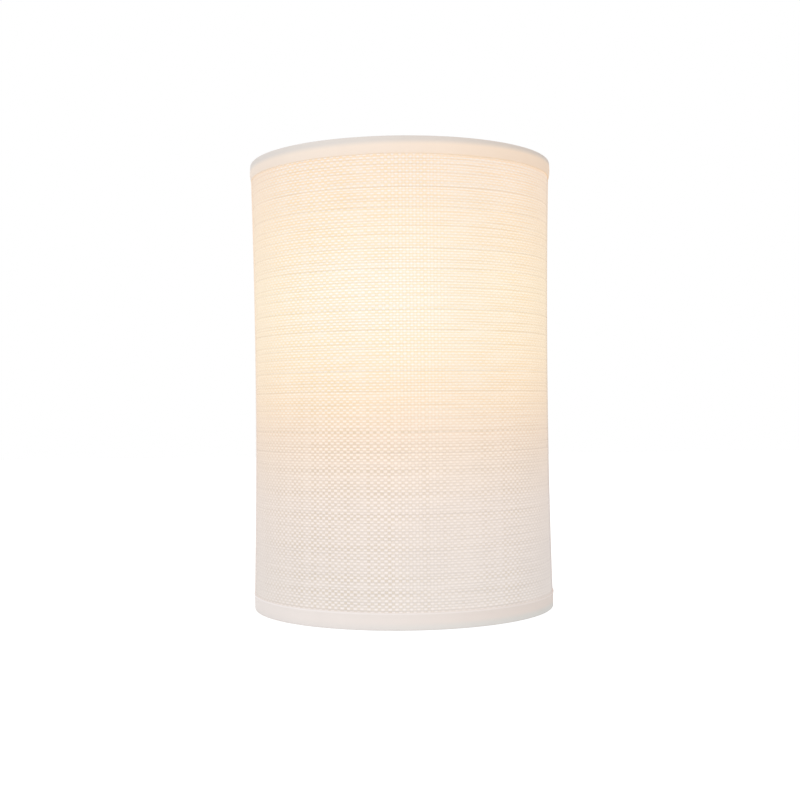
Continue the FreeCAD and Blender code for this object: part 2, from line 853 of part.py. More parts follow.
def bulb_cap_shell():
    """Screw cap with rolled turns, drawn as rounded rings one thread pitch apart."""
    bore = thread_root - thread_wall
    turns = []
    for turn in range(thread_turns):
        base = cap_bottom + thread_margin + turn * thread_pitch
        turns.append((thread_root, base))
        turns.append(((thread_radius, base + thread_pitch / 4),
                      (thread_root, base + thread_pitch / 2)))
    return lamp_turned((thread_root, cap_bottom), *turns, (thread_root, neck_top),
                       (bore, neck_top), (bore, cap_bottom))


def bulb_insulator():
    """Cone of insulator between the screw cap and the centre contact."""
    outer = thread_root - thread_wall - insulator_gap
    base = lamp_bottom + contact_pin_height
    top = cap_bottom + insulator_in_cap
    return lamp_turned(
        (contact_pin_radius, base),
        (contact_pin_radius + insulator_step, base),
        (outer, cap_bottom - insulator_step),
        (outer, top),
        (contact_pin_radius, top),
    )


def bulb_contact_pin():
    """Centre contact with its shank up through the insulator."""
    base = Vector(0, lamp_y, lamp_bottom)
    button = cylinder(contact_pin_radius + contact_button_edge, contact_pin_height, base)
    reach = cap_bottom + insulator_in_cap - lamp_bottom
    shank = cylinder(contact_pin_radius, reach, base)
    return button.fuse(shank).removeSplitter()


def led_board():
    """Round board on the housing's shelf."""
    return cylinder(led_board_radius, led_board_thickness, Vector(0, lamp_y, dome_bottom))


def led_chips():
    """Ring of light-emitting chips on the board."""
    chips = []
    base = dome_bottom + led_board_thickness
    for step in range(led_count):
        angle = 360.0 * step / led_count
        chip = block((led_circle_radius - led_size / 2, led_circle_radius + led_size / 2),
                     (-led_size / 2, led_size / 2), (0, led_height))
        chip.Placement = FreeCAD.Placement(Vector(0, lamp_y, base), FreeCAD.Rotation(UP, angle))
        chips.append(chip)
    return chips


def driver_board():
    """Upright circuit board inside the housing, hanging from the LED board's shelf."""
    top = dome_bottom
    half = driver_board_width / 2
    return block((-half, half),
                 (lamp_y - driver_board_thickness / 2, lamp_y + driver_board_thickness / 2),
                 (top - driver_board_height, top))


# ---------------------------------------------------------------- wiring

def sleeved_route(x):
    """The pair's way from inside the tray, through its grommet and up into the holder."""
    low = sleeving_height - sleeving_drop
    leave = tray_face - sleeving_leave
    return [
        Vector(x, -sleeving_start, sleeving_height),
        Vector(x, leave, sleeving_height),
        Vector(x, leave - sleeving_slope, low),
        Vector(x, lamp_y, low),
        Vector(x, lamp_y, arm_top + nipple_above - sleeving_stop),
    ]


def lead_sleeving():
    """Hollow heat-resistant sleeving over the pair of leads."""
    route = bent_path(sleeved_route(0), bend_radius)
    outer = swept_round(route, sleeving_diameter / 2)
    inner = swept_round(route, sleeving_diameter / 2 - sleeving_wall)
    return outer.cut(inner)


def lamp_lead(side):
    """One insulated lead: from the terminal block down the tray, and up into the holder."""
    x = side * lead_spread
    pole = side * pole_spacing
    holder_end = holder_terminal_place(side)
    parting = arm_top + nipple_above + lead_parting
    in_tray = [
        Vector(pole, terminal_axis_y, terminal_entry_height + lead_into_tube),
        Vector(pole, terminal_axis_y, lead_drop_height),
        Vector(x, -lead_turn, sleeving_height),
    ]
    in_holder = [
        Vector(x, lamp_y, parting),
        Vector(holder_end.x, lamp_y, parting + lead_spread_height),
        Vector(holder_end.x, lamp_y, core_bottom + core_height / 3),
    ]
    route = in_tray + sleeved_route(x)[1:-1] + in_holder
    return bent_rod(route, lead_diameter / 2, bend_radius)


def flex_grommet():
    """Rubber grommet in the tray's face round the sleeving."""
    bore = sleeving_diameter / 2 + glue_gap
    groove = grommet_hole_radius - glue_gap
    flange = grommet_hole_radius + grommet_flange
    half = tray_wall / 2 + glue_gap
    outer = half + grommet_flange_thickness
    bevel = grommet_flange_bevel
    face_middle = tray_face + tray_wall / 2

    def place(radius, y):
        return Vector(radius, face_middle + y, sleeving_height)

    wire = outline(
        place,
        (bore, -outer),
        (flange - bevel, -outer),
        (flange, bevel - outer),
        (flange, -half),
        (groove, -half),
        (groove, half),
        (flange, half),
        (flange, outer - bevel),
        (flange - bevel, outer),
        (bore, outer),
    )
    return Part.Face(wire).revolve(Vector(0, 0, sleeving_height), TO_ROOM, 360.0)


# ---------------------------------------------------------------- terminal block and earth

def poles():
    """Sideways place of each pole of the terminal block."""
    return [pole * pole_spacing for pole in (-1, 0, 1)]


def terminal_screw_heights():
    """Heights of the two screws of each pole."""
    return [terminal_middle + s * terminal_screw_spacing / 2 for s in SIDES]


def terminal_screw_bar(x, z, radius):
    """Screw, or its hole in the brass tube, from below the block's rear face."""
    seat = Vector(x, terminal_back - terminal_screw_sink, z)
    return cylinder(radius, terminal_screw_length, seat, TO_ROOM)


def terminal_block():
    """Insulating block with three poles, open to the wall side for its screws."""
    half = terminal_width / 2
    body = block((-half, half), (tray_face + tray_wall, terminal_back),
                 (terminal_height, terminal_height + terminal_length))
    well_radius = terminal_screw_diameter / 2 + glue_gap
    tube_hole = terminal_entry / 2 + terminal_tube_wall + press_clearance
    for x in poles():
        body = body.cut(cylinder(tube_hole, terminal_length,
                                 Vector(x, terminal_axis_y, terminal_height)))
        for z in terminal_screw_heights():
            body = body.cut(cylinder(well_radius, terminal_depth / 2,
                                     Vector(x, terminal_back, z), TO_ROOM))
    for side in SIDES:
        place = Vector(side * pole_spacing / 2, terminal_back, terminal_middle)
        body = body.cut(cylinder(terminal_fixing_diameter / 2 + press_clearance,
                                 terminal_depth, place, TO_ROOM))
    return body


def terminal_tubes():
    """Three brass tubes, each with two threaded screw holes."""
    tubes = []
    for x in poles():
        base = Vector(x, terminal_axis_y, terminal_entry_height)
        brass = tube(terminal_entry / 2 + terminal_tube_wall, terminal_entry / 2,
                     terminal_tube_length, base)
        for z in terminal_screw_heights():
            brass = brass.cut(terminal_screw_bar(
                x, z, terminal_screw_diameter / 2 + press_clearance))
        tubes.append(brass)
    return tubes


def terminal_screws():
    """Six slotted grub screws."""
    screws = []
    half_slot = grub_slot_width / 2
    for x in poles():
        for z in terminal_screw_heights():
            top = terminal_back - terminal_screw_sink
            bar = terminal_screw_bar(x, z, terminal_screw_diameter / 2)
            slot = block((x - terminal_screw_diameter, x + terminal_screw_diameter),
                         (top, top - screw_slot_depth), (z - half_slot, z + half_slot))
            screws.append(bar.cut(slot))
    return screws


def terminal_fixing_screws():
    """Two screws through the terminal block into the tray's face."""
    return [cheese_head_screw(Vector(s * pole_spacing / 2, terminal_back, terminal_middle),
                              TO_ROOM, terminal_depth + tray_wall, terminal_fixing_diameter,
                              terminal_fixing_head, terminal_fixing_head_height)
            for s in SIDES]


def earth_tag():
    """Ring terminal: a flat ring on the tray's face and a barrel round the earth lead."""
    inside = tray_face + tray_wall
    ring = cylinder(earth_tag_radius, earth_tag_thickness,
                    Vector(0, inside, earth_screw_height), TO_ROOM * -1)
    neck = block((-earth_barrel_diameter / 2, earth_barrel_diameter / 2),
                 (inside, inside + earth_tag_thickness),
                 (earth_screw_height, earth_screw_height + earth_tag_radius + earth_neck_overlap))
    barrel_base = Vector(0, earth_barrel_y, earth_screw_height + earth_tag_radius)
    barrel = cylinder(earth_barrel_diameter / 2, earth_barrel_length, barrel_base)
    tag = ring.multiFuse([neck, barrel]).removeSplitter()
    tag = tag.cut(cylinder(lead_diameter / 2 + glue_gap, earth_barrel_length,
                           barrel_base + UP * earth_neck_overlap))
    return tag.cut(cylinder(screw_diameter / 2 + screw_clearance, 2 * earth_tag_thickness,
                            Vector(0, inside, earth_screw_height), TO_ROOM * -1))


def earth_washer():
    """Washer between the earth screw's head and the tag."""
    base = Vector(0, tray_face + tray_wall + earth_tag_thickness, earth_screw_height)
    return tube(earth_tag_radius, screw_diameter / 2 + screw_clearance, earth_tag_thickness,
                base, TO_ROOM * -1)


def earth_screw():
    """Screw that clamps the tag on the tray's face."""
    stack = 2 * earth_tag_thickness
    seat = Vector(0, tray_face + tray_wall + stack, earth_screw_height)
    return cheese_head_screw(seat, TO_ROOM, stack + tray_wall, screw_diameter,
                             screw_head_diameter, screw_head_height)


def earth_lead():
    """Short lead from the middle pole to the earth tag."""
    lead_end = earth_screw_height + earth_tag_radius + earth_neck_overlap + earth_lead_end_gap
    slope_low = terminal_entry_height - earth_lead_drop - earth_lead_slope
    route = [
        Vector(0, earth_barrel_y, lead_end),
        Vector(0, earth_barrel_y, slope_low),
        Vector(0, terminal_axis_y, terminal_entry_height - earth_lead_drop),
        Vector(0, terminal_axis_y, terminal_entry_height + lead_into_tube),
    ]
    return bent_rod(route, lead_diameter / 2, bend_radius)


# ---------------------------------------------------------------- the nodes

nodes = {
    "wall_strap": wall_strap(),
    "strap_studs": strap_studs(),
    "back_tray": back_tray(),
    "cap_nuts": cap_nuts(),
    "shade_hooks": [shade_hook(side, flip * crossbar_height) for side in SIDES for flip in SIDES],
    "terminal_block": terminal_block(),
    "terminal_tubes": terminal_tubes(),
    "terminal_screws": terminal_screws(),
    "terminal_fixing_screws": terminal_fixing_screws(),
    "earth_screw": earth_screw(),
    "earth_washer": earth_washer(),
    "earth_tag": earth_tag(),
    "earth_lead": earth_lead(),
    "live_lead": lamp_lead(-1),
    "neutral_lead": lamp_lead(1),
    "lead_sleeving": lead_sleeving(),
    "flex_grommet": flex_grommet(),
    "lamp_arm": lamp_arm(),
    "arm_screws": arm_screws(),
    "arm_nuts": arm_nuts(),
    "threaded_nipple": nipple(),
    "nipple_washer": nipple_washer(),
    "nipple_nut": nipple_nut(),
    "holder_cap": holder_cap(),
    "holder_skirt": holder_skirt(),
    "holder_core": holder_core(),
    "holder_screws": holder_screws(),
    "thread_sleeve": thread_sleeve(),
    "centre_contact": centre_contact(),
    "bulb_contact_pin": bulb_contact_pin(),
    "bulb_insulator": bulb_insulator(),
    "bulb_cap_shell": bulb_cap_shell(),
    "bulb_housing": bulb_housing(),
    "bulb_dome": bulb_dome(),
    "led_board": led_board(),
    "led_chips": led_chips(),
    "driver_board": driver_board(),
    "shade_fabric": shade_fabric(),
    "shade_liner": shade_liner(),
    "top_ring": frame_ring(ring_height),
    "bottom_ring": frame_ring(-ring_height),
    "frame_stiles": [stile(side) for side in SIDES],
    "frame_crossbars": [crossbar(flip * crossbar_height) for flip in SIDES],
    "top_tape": rim_tape(1),
    "bottom_tape": rim_tape(-1),
    "left_edge_tape": edge_tape(-1),
    "right_edge_tape": edge_tape(1),
}

os.makedirs("parts", exist_ok=True)
for name, shape in nodes.items():
    solid = Part.makeCompound(shape) if isinstance(shape, list) else shape
    solid.exportStep(f"parts/{name}.step")
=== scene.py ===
"""Looks of a wall light with a lit half-round fabric shade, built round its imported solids.

Everything is in metres. The wall is the plane y = 0, the room is towards -y, and z is up.
"""

import json
import logging
import math
from collections.abc import Mapping, Sequence
from dataclasses import dataclass
from enum import Enum
from typing import ClassVar

import bmesh
import bpy
import numpy as np
from mathutils import Matrix, Vector

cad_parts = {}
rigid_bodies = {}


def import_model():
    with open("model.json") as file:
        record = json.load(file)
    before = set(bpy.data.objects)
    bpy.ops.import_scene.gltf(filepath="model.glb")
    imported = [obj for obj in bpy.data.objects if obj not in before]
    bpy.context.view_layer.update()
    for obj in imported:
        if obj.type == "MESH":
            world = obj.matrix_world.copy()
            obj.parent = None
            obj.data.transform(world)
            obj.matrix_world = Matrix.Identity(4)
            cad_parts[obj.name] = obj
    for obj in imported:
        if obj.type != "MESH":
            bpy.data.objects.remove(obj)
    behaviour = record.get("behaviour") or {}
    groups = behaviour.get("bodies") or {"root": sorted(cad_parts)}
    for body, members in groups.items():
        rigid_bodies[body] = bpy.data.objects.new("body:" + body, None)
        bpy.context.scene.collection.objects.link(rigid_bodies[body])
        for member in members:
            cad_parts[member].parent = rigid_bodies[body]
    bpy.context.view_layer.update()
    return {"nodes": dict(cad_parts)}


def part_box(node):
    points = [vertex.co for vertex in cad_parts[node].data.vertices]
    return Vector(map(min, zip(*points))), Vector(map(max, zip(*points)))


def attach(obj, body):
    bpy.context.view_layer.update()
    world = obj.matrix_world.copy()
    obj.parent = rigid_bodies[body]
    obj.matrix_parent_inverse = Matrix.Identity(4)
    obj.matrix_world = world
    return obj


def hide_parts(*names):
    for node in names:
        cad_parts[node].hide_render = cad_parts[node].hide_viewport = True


log = logging.getLogger("wall_light")

MM = 0.001
MIDDLE = 0.5
Colour = tuple[float, float, float]
BLACK: Colour = (0.0, 0.0, 0.0)
WHITE: Colour = (1.0, 1.0, 1.0)


# ------------------------------------------------------------------ shader tools

@dataclass(frozen=True)
class Span:
    """A smooth change between two values of something, level outside them."""

    low: float
    high: float
    at_low: float = 0.0
    at_high: float = 1.0


@dataclass(frozen=True)
class Noise:
    """Smooth noise from 0 to 1, with cells per metre and octaves, and sharpened by a span."""

    scale: float
    detail: float = 2.0
    span: Span | None = None


class Sock:
    """A number, vector or colour socket that can be used in a sum."""

    def __init__(self, paint: "Paint", socket: bpy.types.NodeSocket | None) -> None:
        """Wraps a socket.

        Args:
            paint: The nodes that the socket is among.
            socket: The output socket, or None for a node that has none.
        """
        self.paint = paint
        self.socket = socket

    def _math(self, operation: str, *values: "Sock | float") -> "Sock":
        """Adds a Math node.

        Args:
            operation: The node's operation.
            values: Its inputs in order.

        Returns:
            The node's result.
        """
        return self.paint.node("ShaderNodeMath", {"operation": operation}, dict(enumerate(values)))

    def __add__(self, other: "Sock | float") -> "Sock":
        """Self plus other."""
        return self._math("ADD", self, other)

    def __radd__(self, other: float) -> "Sock":
        """Other plus self."""
        return self._math("ADD", other, self)

    def __sub__(self, other: "Sock | float") -> "Sock":
        """Self minus other."""
        return self._math("SUBTRACT", self, other)

    def __rsub__(self, other: float) -> "Sock":
        """Other minus self."""
        return self._math("SUBTRACT", other, self)

    def __mul__(self, other: "Sock | float") -> "Sock":
        """Self times other."""
        return self._math("MULTIPLY", self, other)

    def __rmul__(self, other: float) -> "Sock":
        """Other times self."""
        return self._math("MULTIPLY", other, self)

    def __truediv__(self, other: "Sock | float") -> "Sock":
        """Self over other."""
        return self._math("DIVIDE", self, other)

    def __rtruediv__(self, other: float) -> "Sock":
        """Other over self."""
        return self._math("DIVIDE", other, self)

    def __pow__(self, other: "Sock | float") -> "Sock":
        """Self to a power."""
        return self._math("POWER", self, other)

    def __rpow__(self, other: float) -> "Sock":
        """Other to the power of self."""
        return self._math("POWER", other, self)

    def sin(self) -> "Sock":
        """Sine of an angle in radians."""
        return self._math("SINE", self)

    def turn(self, level: "Sock") -> "Sock":
        """Angle in radians of a slope that rises by self over level."""
        return self._math("ARCTAN2", self, level)

    def fraction(self) -> "Sock":
        """What is left over the whole number below."""
        return self._math("FRACT", self)

    def absolute(self) -> "Sock":
        """Size without the sign."""
        return self._math("ABSOLUTE", self)

    def at_least(self, limit: "Sock | float") -> "Sock":
        """The larger of two values."""
        return self._math("MAXIMUM", self, limit)

    def spread(self, span: Span) -> "Sock":
        """Smoothly rescales and clamps a value.

        Args:
            span: The values it goes between, and what they become.

        Returns:
            The rescaled value.
        """
        settings = {"interpolation_type": "SMOOTHSTEP"}
        values = {"Value": self, "From Min": span.low, "From Max": span.high,
                  "To Min": span.at_low, "To Max": span.at_high}
        return self.paint.node("ShaderNodeMapRange", settings, values)

    def line(self, centre: float, half_width: float) -> "Sock":
        """1 at a value and 0 from half_width away."""
        return (self - centre).absolute().spread(Span(0.0, half_width, 1.0, 0.0))


Input = Sock | float | tuple[float, ...]


class Axis(Enum):
    """Coordinates of a place."""

    X = "X"
    Y = "Y"
    Z = "Z"


class Ground(Enum):
    """What is painted, as the types of its shader and of its output."""

    SURFACE = ("ShaderNodeBsdfPrincipled", "ShaderNodeOutputMaterial")
    SURROUNDINGS = ("ShaderNodeBackground", "ShaderNodeOutputWorld")


class Paint:
    """The shader nodes of one material, or of the surroundings, under construction."""

    def __init__(self, owner: bpy.types.Material | bpy.types.World,
                 ground: Ground = Ground.SURFACE) -> None:
        """Clears the nodes and starts with a plain shader.

        Args:
            owner: The material or world that the nodes are for.
            ground: Which of the two it is.
        """
        owner.use_nodes = True
        self.tree = owner.node_tree
        self.tree.nodes.clear()
        shader, output = ground.value
        self.shader = self.node(shader)
        self.node(output, None, {"Surface": self.shader})

    def _feed(self, socket: bpy.types.NodeSocket, value: Input) -> None:
        """Links or sets an input socket.

        Args:
            socket: The input socket.
            value: What it gets.
        """
        if isinstance(value, Sock):
            self.tree.links.new(value.socket, socket)
        elif socket.type == "RGBA":
            socket.default_value = (*value, 1.0)
        else:
            socket.default_value = value

    def node(self, kind: str, settings: Mapping[str, object] | None = None,
             values: Mapping[str | int, Input] | None = None, output: str | int = 0) -> Sock:
        """Adds any node.

        Args:
            kind: The node's type.
            settings: Its properties, set first. "stops" holds a ramp's (place, colour) pairs.
            values: Values or links for its inputs, by name or number.
            output: Which output to return.

        Returns:
            The wanted output.
        """
        made = self.tree.nodes.new(kind)
        for name, setting in (settings or {}).items():
            if name == "stops":
                ramp = made.color_ramp.elements
                while len(ramp) < len(setting):
                    ramp.new(1.0)
                for element, (place, colour) in zip(ramp, setting):
                    element.position = place
                    element.color = (*colour, 1.0)
            else:
                setattr(made, name, setting)
        for key, value in (values or {}).items():
            self._feed(made.inputs[key], value)
        return Sock(self, made.outputs[output] if made.outputs else None)

    def place(self, axis: Axis | None = None) -> Sock:
        """Place on the object in metres.

        Args:
            axis: The coordinate that is wanted, or None for all three.

        Returns:
            The vector or the coordinate.
        """
        point = self.node("ShaderNodeTexCoord", output="Object")
        if axis is None:
            return point
        return self.node("ShaderNodeSeparateXYZ", None, {0: point}, axis.value)

    def stretched(self, x: float, y: float, z: float) -> Sock:
        """Place on the object, scaled by axis."""
        values = {"Vector": self.place(), "Scale": (x, y, z)}
        return self.node("ShaderNodeMapping", None, values)

    def noise(self, noise: Noise, vector: Sock | None = None) -> Sock:
        """Smooth noise.

        Args:
            noise: Which.
            vector: Where to read it. The place on the object unless given.

        Returns:
            The noise.
        """
        values = {"Vector": vector or self.place(), "Scale": noise.scale, "Detail": noise.detail}
        made = self.node("ShaderNodeTexNoise", None, values)
        return made.spread(noise.span) if noise.span else made

    def vector(self, x: Sock | float, y: Sock | float, z: Sock | float = 0.0) -> Sock:
        """Three numbers as a vector."""
        return self.node("ShaderNodeCombineXYZ", None, {0: x, 1: y, 2: z})

    def mix(self, factor: Sock, first: Sock | Colour, second: Sock | Colour) -> Sock:
        """First colour at factor 0, second at 1."""
        values = {0: factor, 6: first, 7: second}
        return self.node("ShaderNodeMix", {"data_type": "RGBA"}, values, 2)

    def scaled(self, colour: Sock | Colour, amount: Sock) -> Sock:
        """A colour times a number."""
        values = {0: colour, "Scale": amount}
        return self.node("ShaderNodeVectorMath", {"operation": "SCALE"}, values)

    def added(self, first: Sock | Colour, second: Sock | Colour) -> Sock:
        """Sum of two colours."""
        return self.node("ShaderNodeVectorMath", {"operation": "ADD"}, {0: first, 1: second})

    def tinted(self, first: Sock | Colour, second: Sock | Colour) -> Sock:
        """Product of two colours."""
        return self.node("ShaderNodeVectorMath", {"operation": "MULTIPLY"}, {0: first, 1: second})

    def ramp(self, factor: Sock, stops: Sequence[tuple[float, Colour]]) -> Sock:
        """Colour from a ramp."""
        return self.node("ShaderNodeValToRGB", {"stops": stops}, {0: factor})

    def bump(self, height: Sock, depth: float) -> None:
        """Raises the surface where height is large, by depth for a height of 1."""
        values = {"Strength": 1.0, "Distance": depth, "Height": height}
        self.set(Normal=self.node("ShaderNodeBump", None, values))

    def set(self, **inputs: Input) -> None:
        """Sets inputs of the shader. An underscore in a name stands for a space."""
        for name, value in inputs.items():
            self._feed(self.shader.socket.node.inputs[name.replace("_", " ")], value)


# ------------------------------------------------------------------ finishes

class Rim(Enum):
    """Rims of the shade, with the sign of their height."""

    TOP = 1
    BOTTOM = -1


class RearEdge(Enum):
    """Upright rear edges of the shade, with the sign of their x."""

    LEFT = -1
    RIGHT = 1


class Finish:
    """Base of the finishes. Each makes its material once."""

    _made: ClassVar[dict["Finish", bpy.types.Material]] = {}

    def material(self) -> bpy.types.Material:
        """Makes the finish's material on first use.

        Returns:
            The material.
        """
        if self not in Finish._made:
            made = bpy.data.materials.new(f"finish_{type(self).__name__}_{len(Finish._made)}")
            self.dress(Paint(made))
            Finish._made[self] = made
        return Finish._made[self]

    def dress(self, paint: Paint) -> None:
        """Builds the finish's nodes with paint."""
        raise NotImplementedError

    def on(self, obj: bpy.types.Object) -> None:
        """Gives an object this finish alone."""
        obj.data.materials.clear()
        obj.data.materials.append(self.material())


def dimmed(colour: Colour, share: float) -> Colour:
    """A colour with each channel times share."""
    return tuple(channel * share for channel in colour)


@dataclass(frozen=True)
class Coating(Finish):
    """Sprayed enamel or epoxy powder on steel: fine orange peel and slight dust."""

    colour: Colour = (0.80, 0.79, 0.76)
    roughness: float = 0.34
    dust: Noise = Noise(55.0, 4.0, Span(0.35, 0.75))
    dusty: float = 0.93
    dust_roughness: float = 0.12
    peel: Noise = Noise(900.0)
    peel_depth: float = 0.03 * MM

    def dress(self, paint: Paint) -> None:
        """Builds the nodes.

        Args:
            paint: The nodes under construction.
        """
        dust = paint.noise(self.dust)
        paint.set(Base_Color=paint.mix(dust, self.colour, dimmed(self.colour, self.dusty)),
                  Roughness=self.roughness + dust * self.dust_roughness)
        paint.bump(paint.noise(self.peel), self.peel_depth)


@dataclass(frozen=True)
class Metal(Finish):
    """Plated or plain metal with rubbed patches and a drawn grain, and a thread if it has one."""

    colour: Colour = (0.62, 0.63, 0.64)
    roughness: float = 0.28
    stain: Colour = (0.47, 0.47, 0.46)
    rubbed: Noise = Noise(140.0, 4.0, Span(0.42, 0.72))
    rubbed_stain: float = 0.7
    rubbed_roughness: float = 0.14
    grain: Noise = Noise(420.0, 3.0)
    grain_stretch: tuple[float, float, float] = (1.0, 1.0, 9.0)
    grain_roughness: float = 0.10
    grain_height: float = 0.2
    grain_depth: float = 0.05 * MM
    thread_pitch: float = 0.0
    thread_height: float = 0.5
    thread_depth: float = 0.30 * MM

    def dress(self, paint: Paint) -> None:
        """Builds the nodes.

        Args:
            paint: The nodes under construction.
        """
        rubbed = paint.noise(self.rubbed)
        grain = paint.noise(self.grain, paint.stretched(*self.grain_stretch))
        paint.set(Base_Color=paint.mix(rubbed * self.rubbed_stain, self.colour, self.stain),
                  Metallic=1.0,
                  Roughness=(self.roughness + rubbed * self.rubbed_roughness
                             + grain * self.grain_roughness))
        height = grain * self.grain_height
        if not self.thread_pitch:
            paint.bump(height, self.grain_depth)
            return
        turns = paint.place(Axis.Z) * (2 * math.pi / self.thread_pitch)
        paint.bump(height + turns.sin() * self.thread_height, self.thread_depth)


@dataclass(frozen=True)
class Moulding(Finish):
    """Moulded plastic or ceramic with a fine skin and faint flow marks."""

    colour: Colour = (0.82, 0.81, 0.77)
    roughness: float = 0.30
    flow: Noise = Noise(60.0, 3.0, Span(0.3, 0.75))
    flow_roughness: float = 0.08
    mottle: float = 0.06
    skin: Noise = Noise(1500.0)
    skin_depth: float = 0.02 * MM

    def dress(self, paint: Paint) -> None:
        """Builds the nodes.

        Args:
            paint: The nodes under construction.
        """
        flow = paint.noise(self.flow)
        paint.set(Base_Color=paint.mix(flow, self.colour, dimmed(self.colour, 1.0 - self.mottle)),
                  Roughness=self.roughness + flow * self.flow_roughness)
        paint.bump(paint.noise(self.skin), self.skin_depth)


@dataclass(frozen=True)
class Insulation(Finish):
    """Extruded wire insulation, plain or with a stripe that winds along it."""

    colour: Colour
    stripe: Colour | None = None
    stripe_length: float = 11.0 * MM
    stripe_lean: float = 300.0
    stripe_edge: Span = Span(0.46, 0.54)
    roughness: float = 0.38
    scuffs: Noise = Noise(380.0, 3.0, Span(0.5, 0.8))
    scuffed: float = 0.3
    dull_share: float = 0.75
    dull_haze: float = 0.1
    scuff_roughness: float = 0.15
    skin: Noise = Noise(900.0)
    skin_depth: float = 0.02 * MM

    def dress(self, paint: Paint) -> None:
        """Builds the nodes.

        Args:
            paint: The nodes under construction.
        """
        scuffs = paint.noise(self.scuffs)
        dull = tuple(self.dull_share * channel + self.dull_haze for channel in self.colour)
        base = paint.mix(scuffs * self.scuffed, self.colour, dull)
        if self.stripe:
            along = paint.place(Axis.Z) / self.stripe_length
            wound = (along + paint.place(Axis.X) * self.stripe_lean).fraction()
            base = paint.mix(wound.spread(self.stripe_edge), base, self.stripe)
        paint.set(Base_Color=base, Roughness=self.roughness + scuffs * self.scuff_roughness)
        paint.bump(paint.noise(self.skin), self.skin_depth)


@dataclass(frozen=True)
class Braid(Finish):
    """Woven glass-fibre sleeving: two sets of crossing yarns."""

    colour: Colour = (0.72, 0.67, 0.56)
    between: float = 0.62
    yarn: float = 0.8 * MM
    yarn_edge: Span = Span(-0.4, 1.0)
    yarn_depth: float = 0.15 * MM
    roughness: float = 0.8
    sheen: float = 0.2

    def dress(self, paint: Paint) -> None:
        """Builds the nodes.

        Args:
            paint: The nodes under construction.
        """
        across = paint.place(Axis.X)
        along = paint.place(Axis.Z) - paint.place(Axis.Y)
        one = ((across + along) * (math.pi / self.yarn)).sin()
        other = ((across - along) * (math.pi / self.yarn)).sin()
        weave = one.at_least(other).spread(self.yarn_edge)
        paint.set(Base_Color=paint.mix(weave, dimmed(self.colour, self.between), self.colour),
                  Roughness=self.roughness, Sheen_Weight=self.sheen)
        paint.bump(weave, self.yarn_depth)


@dataclass(frozen=True)
class LampGlow:
    """Light of the lit lamp through the shade: a warm field by height and a pale patch.

    The patch is centred a little left of the lamp's own axis, as it is in the photograph.
    """

    axis_x: float = -14.0 * MM
    axis_y: float = -57.0 * MM
    height: float = 51.0 * MM
    nearest: float = 41.0 * MM
    softness: float = 0.5
    patch: Colour = (0.0, 0.054, 0.140)
    reach: float = 130.0 * MM
    field: tuple[tuple[float, Colour], ...] = (
        (-130.0 * MM, (0.363, 0.312, 0.283)),
        (-100.0 * MM, (0.381, 0.314, 0.275)),
        (-70.0 * MM, (0.418, 0.327, 0.266)),
        (-50.0 * MM, (0.442, 0.324, 0.229)),
        (-30.0 * MM, (0.478, 0.327, 0.196)),
        (-10.0 * MM, (0.520, 0.354, 0.182)),
        (20.0 * MM, (0.547, 0.397, 0.201)),
        (55.0 * MM, (0.549, 0.407, 0.206)),
        (90.0 * MM, (0.535, 0.379, 0.196)),
        (130.0 * MM, (0.499, 0.345, 0.212)),
    )

    def share(self, paint: Paint) -> Sock:
        """Strength of the lamp's direct light at the painted point, 1 where it is nearest.

        Args:
            paint: The nodes under construction.

        Returns:
            The strength, which falls with the distance and with the slant of the light.
        """
        x = paint.place(Axis.X) - self.axis_x
        y = paint.place(Axis.Y) - self.axis_y
        z = paint.place(Axis.Z) - self.height
        flat = (x * x + y * y) ** 0.5
        squared = x * x + y * y + z * z
        slant = flat / squared ** 0.5
        return ((slant * (self.nearest ** 2)) / squared) ** self.softness

    def light(self, paint: Paint) -> Sock:
        """Colour of the light that comes through at the painted point.

        Args:
            paint: The nodes under construction.

        Returns:
            The colour.
        """
        climb = (paint.place(Axis.Z) + self.reach) / (2 * self.reach)
        stops = [((height + self.reach) / (2 * self.reach), colour)
                 for height, colour in self.field]
        return paint.added(paint.ramp(climb, stops), paint.scaled(self.patch, self.share(paint)))


@dataclass(frozen=True)
class Tint:
    """Factor on one part of the weave, for low down and for up beside the lamp."""

    low: Colour
    high: Colour

    def at(self, paint: Paint, lit: Sock) -> Sock:
        """The factor, where lit is 0 low down and 1 beside the lamp."""
        return paint.mix(lit, self.low, self.high)


@dataclass(frozen=True)
class ClothPoint:
    """The painted point on the cloth, as sockets.

    side is its x. around and height are its place in metres, pulled about a little as threads
    of uneven thickness are. warp and weft are waves with a sign for each yarn, dots is 1 in
    the middle of a pale dash and -1 in the middle of a gap, and lit is 1 beside the lamp.
    """

    side: Sock
    around: Sock
    height: Sock
    warp: Sock
    weft: Sock
    dots: Sock
    lit: Sock


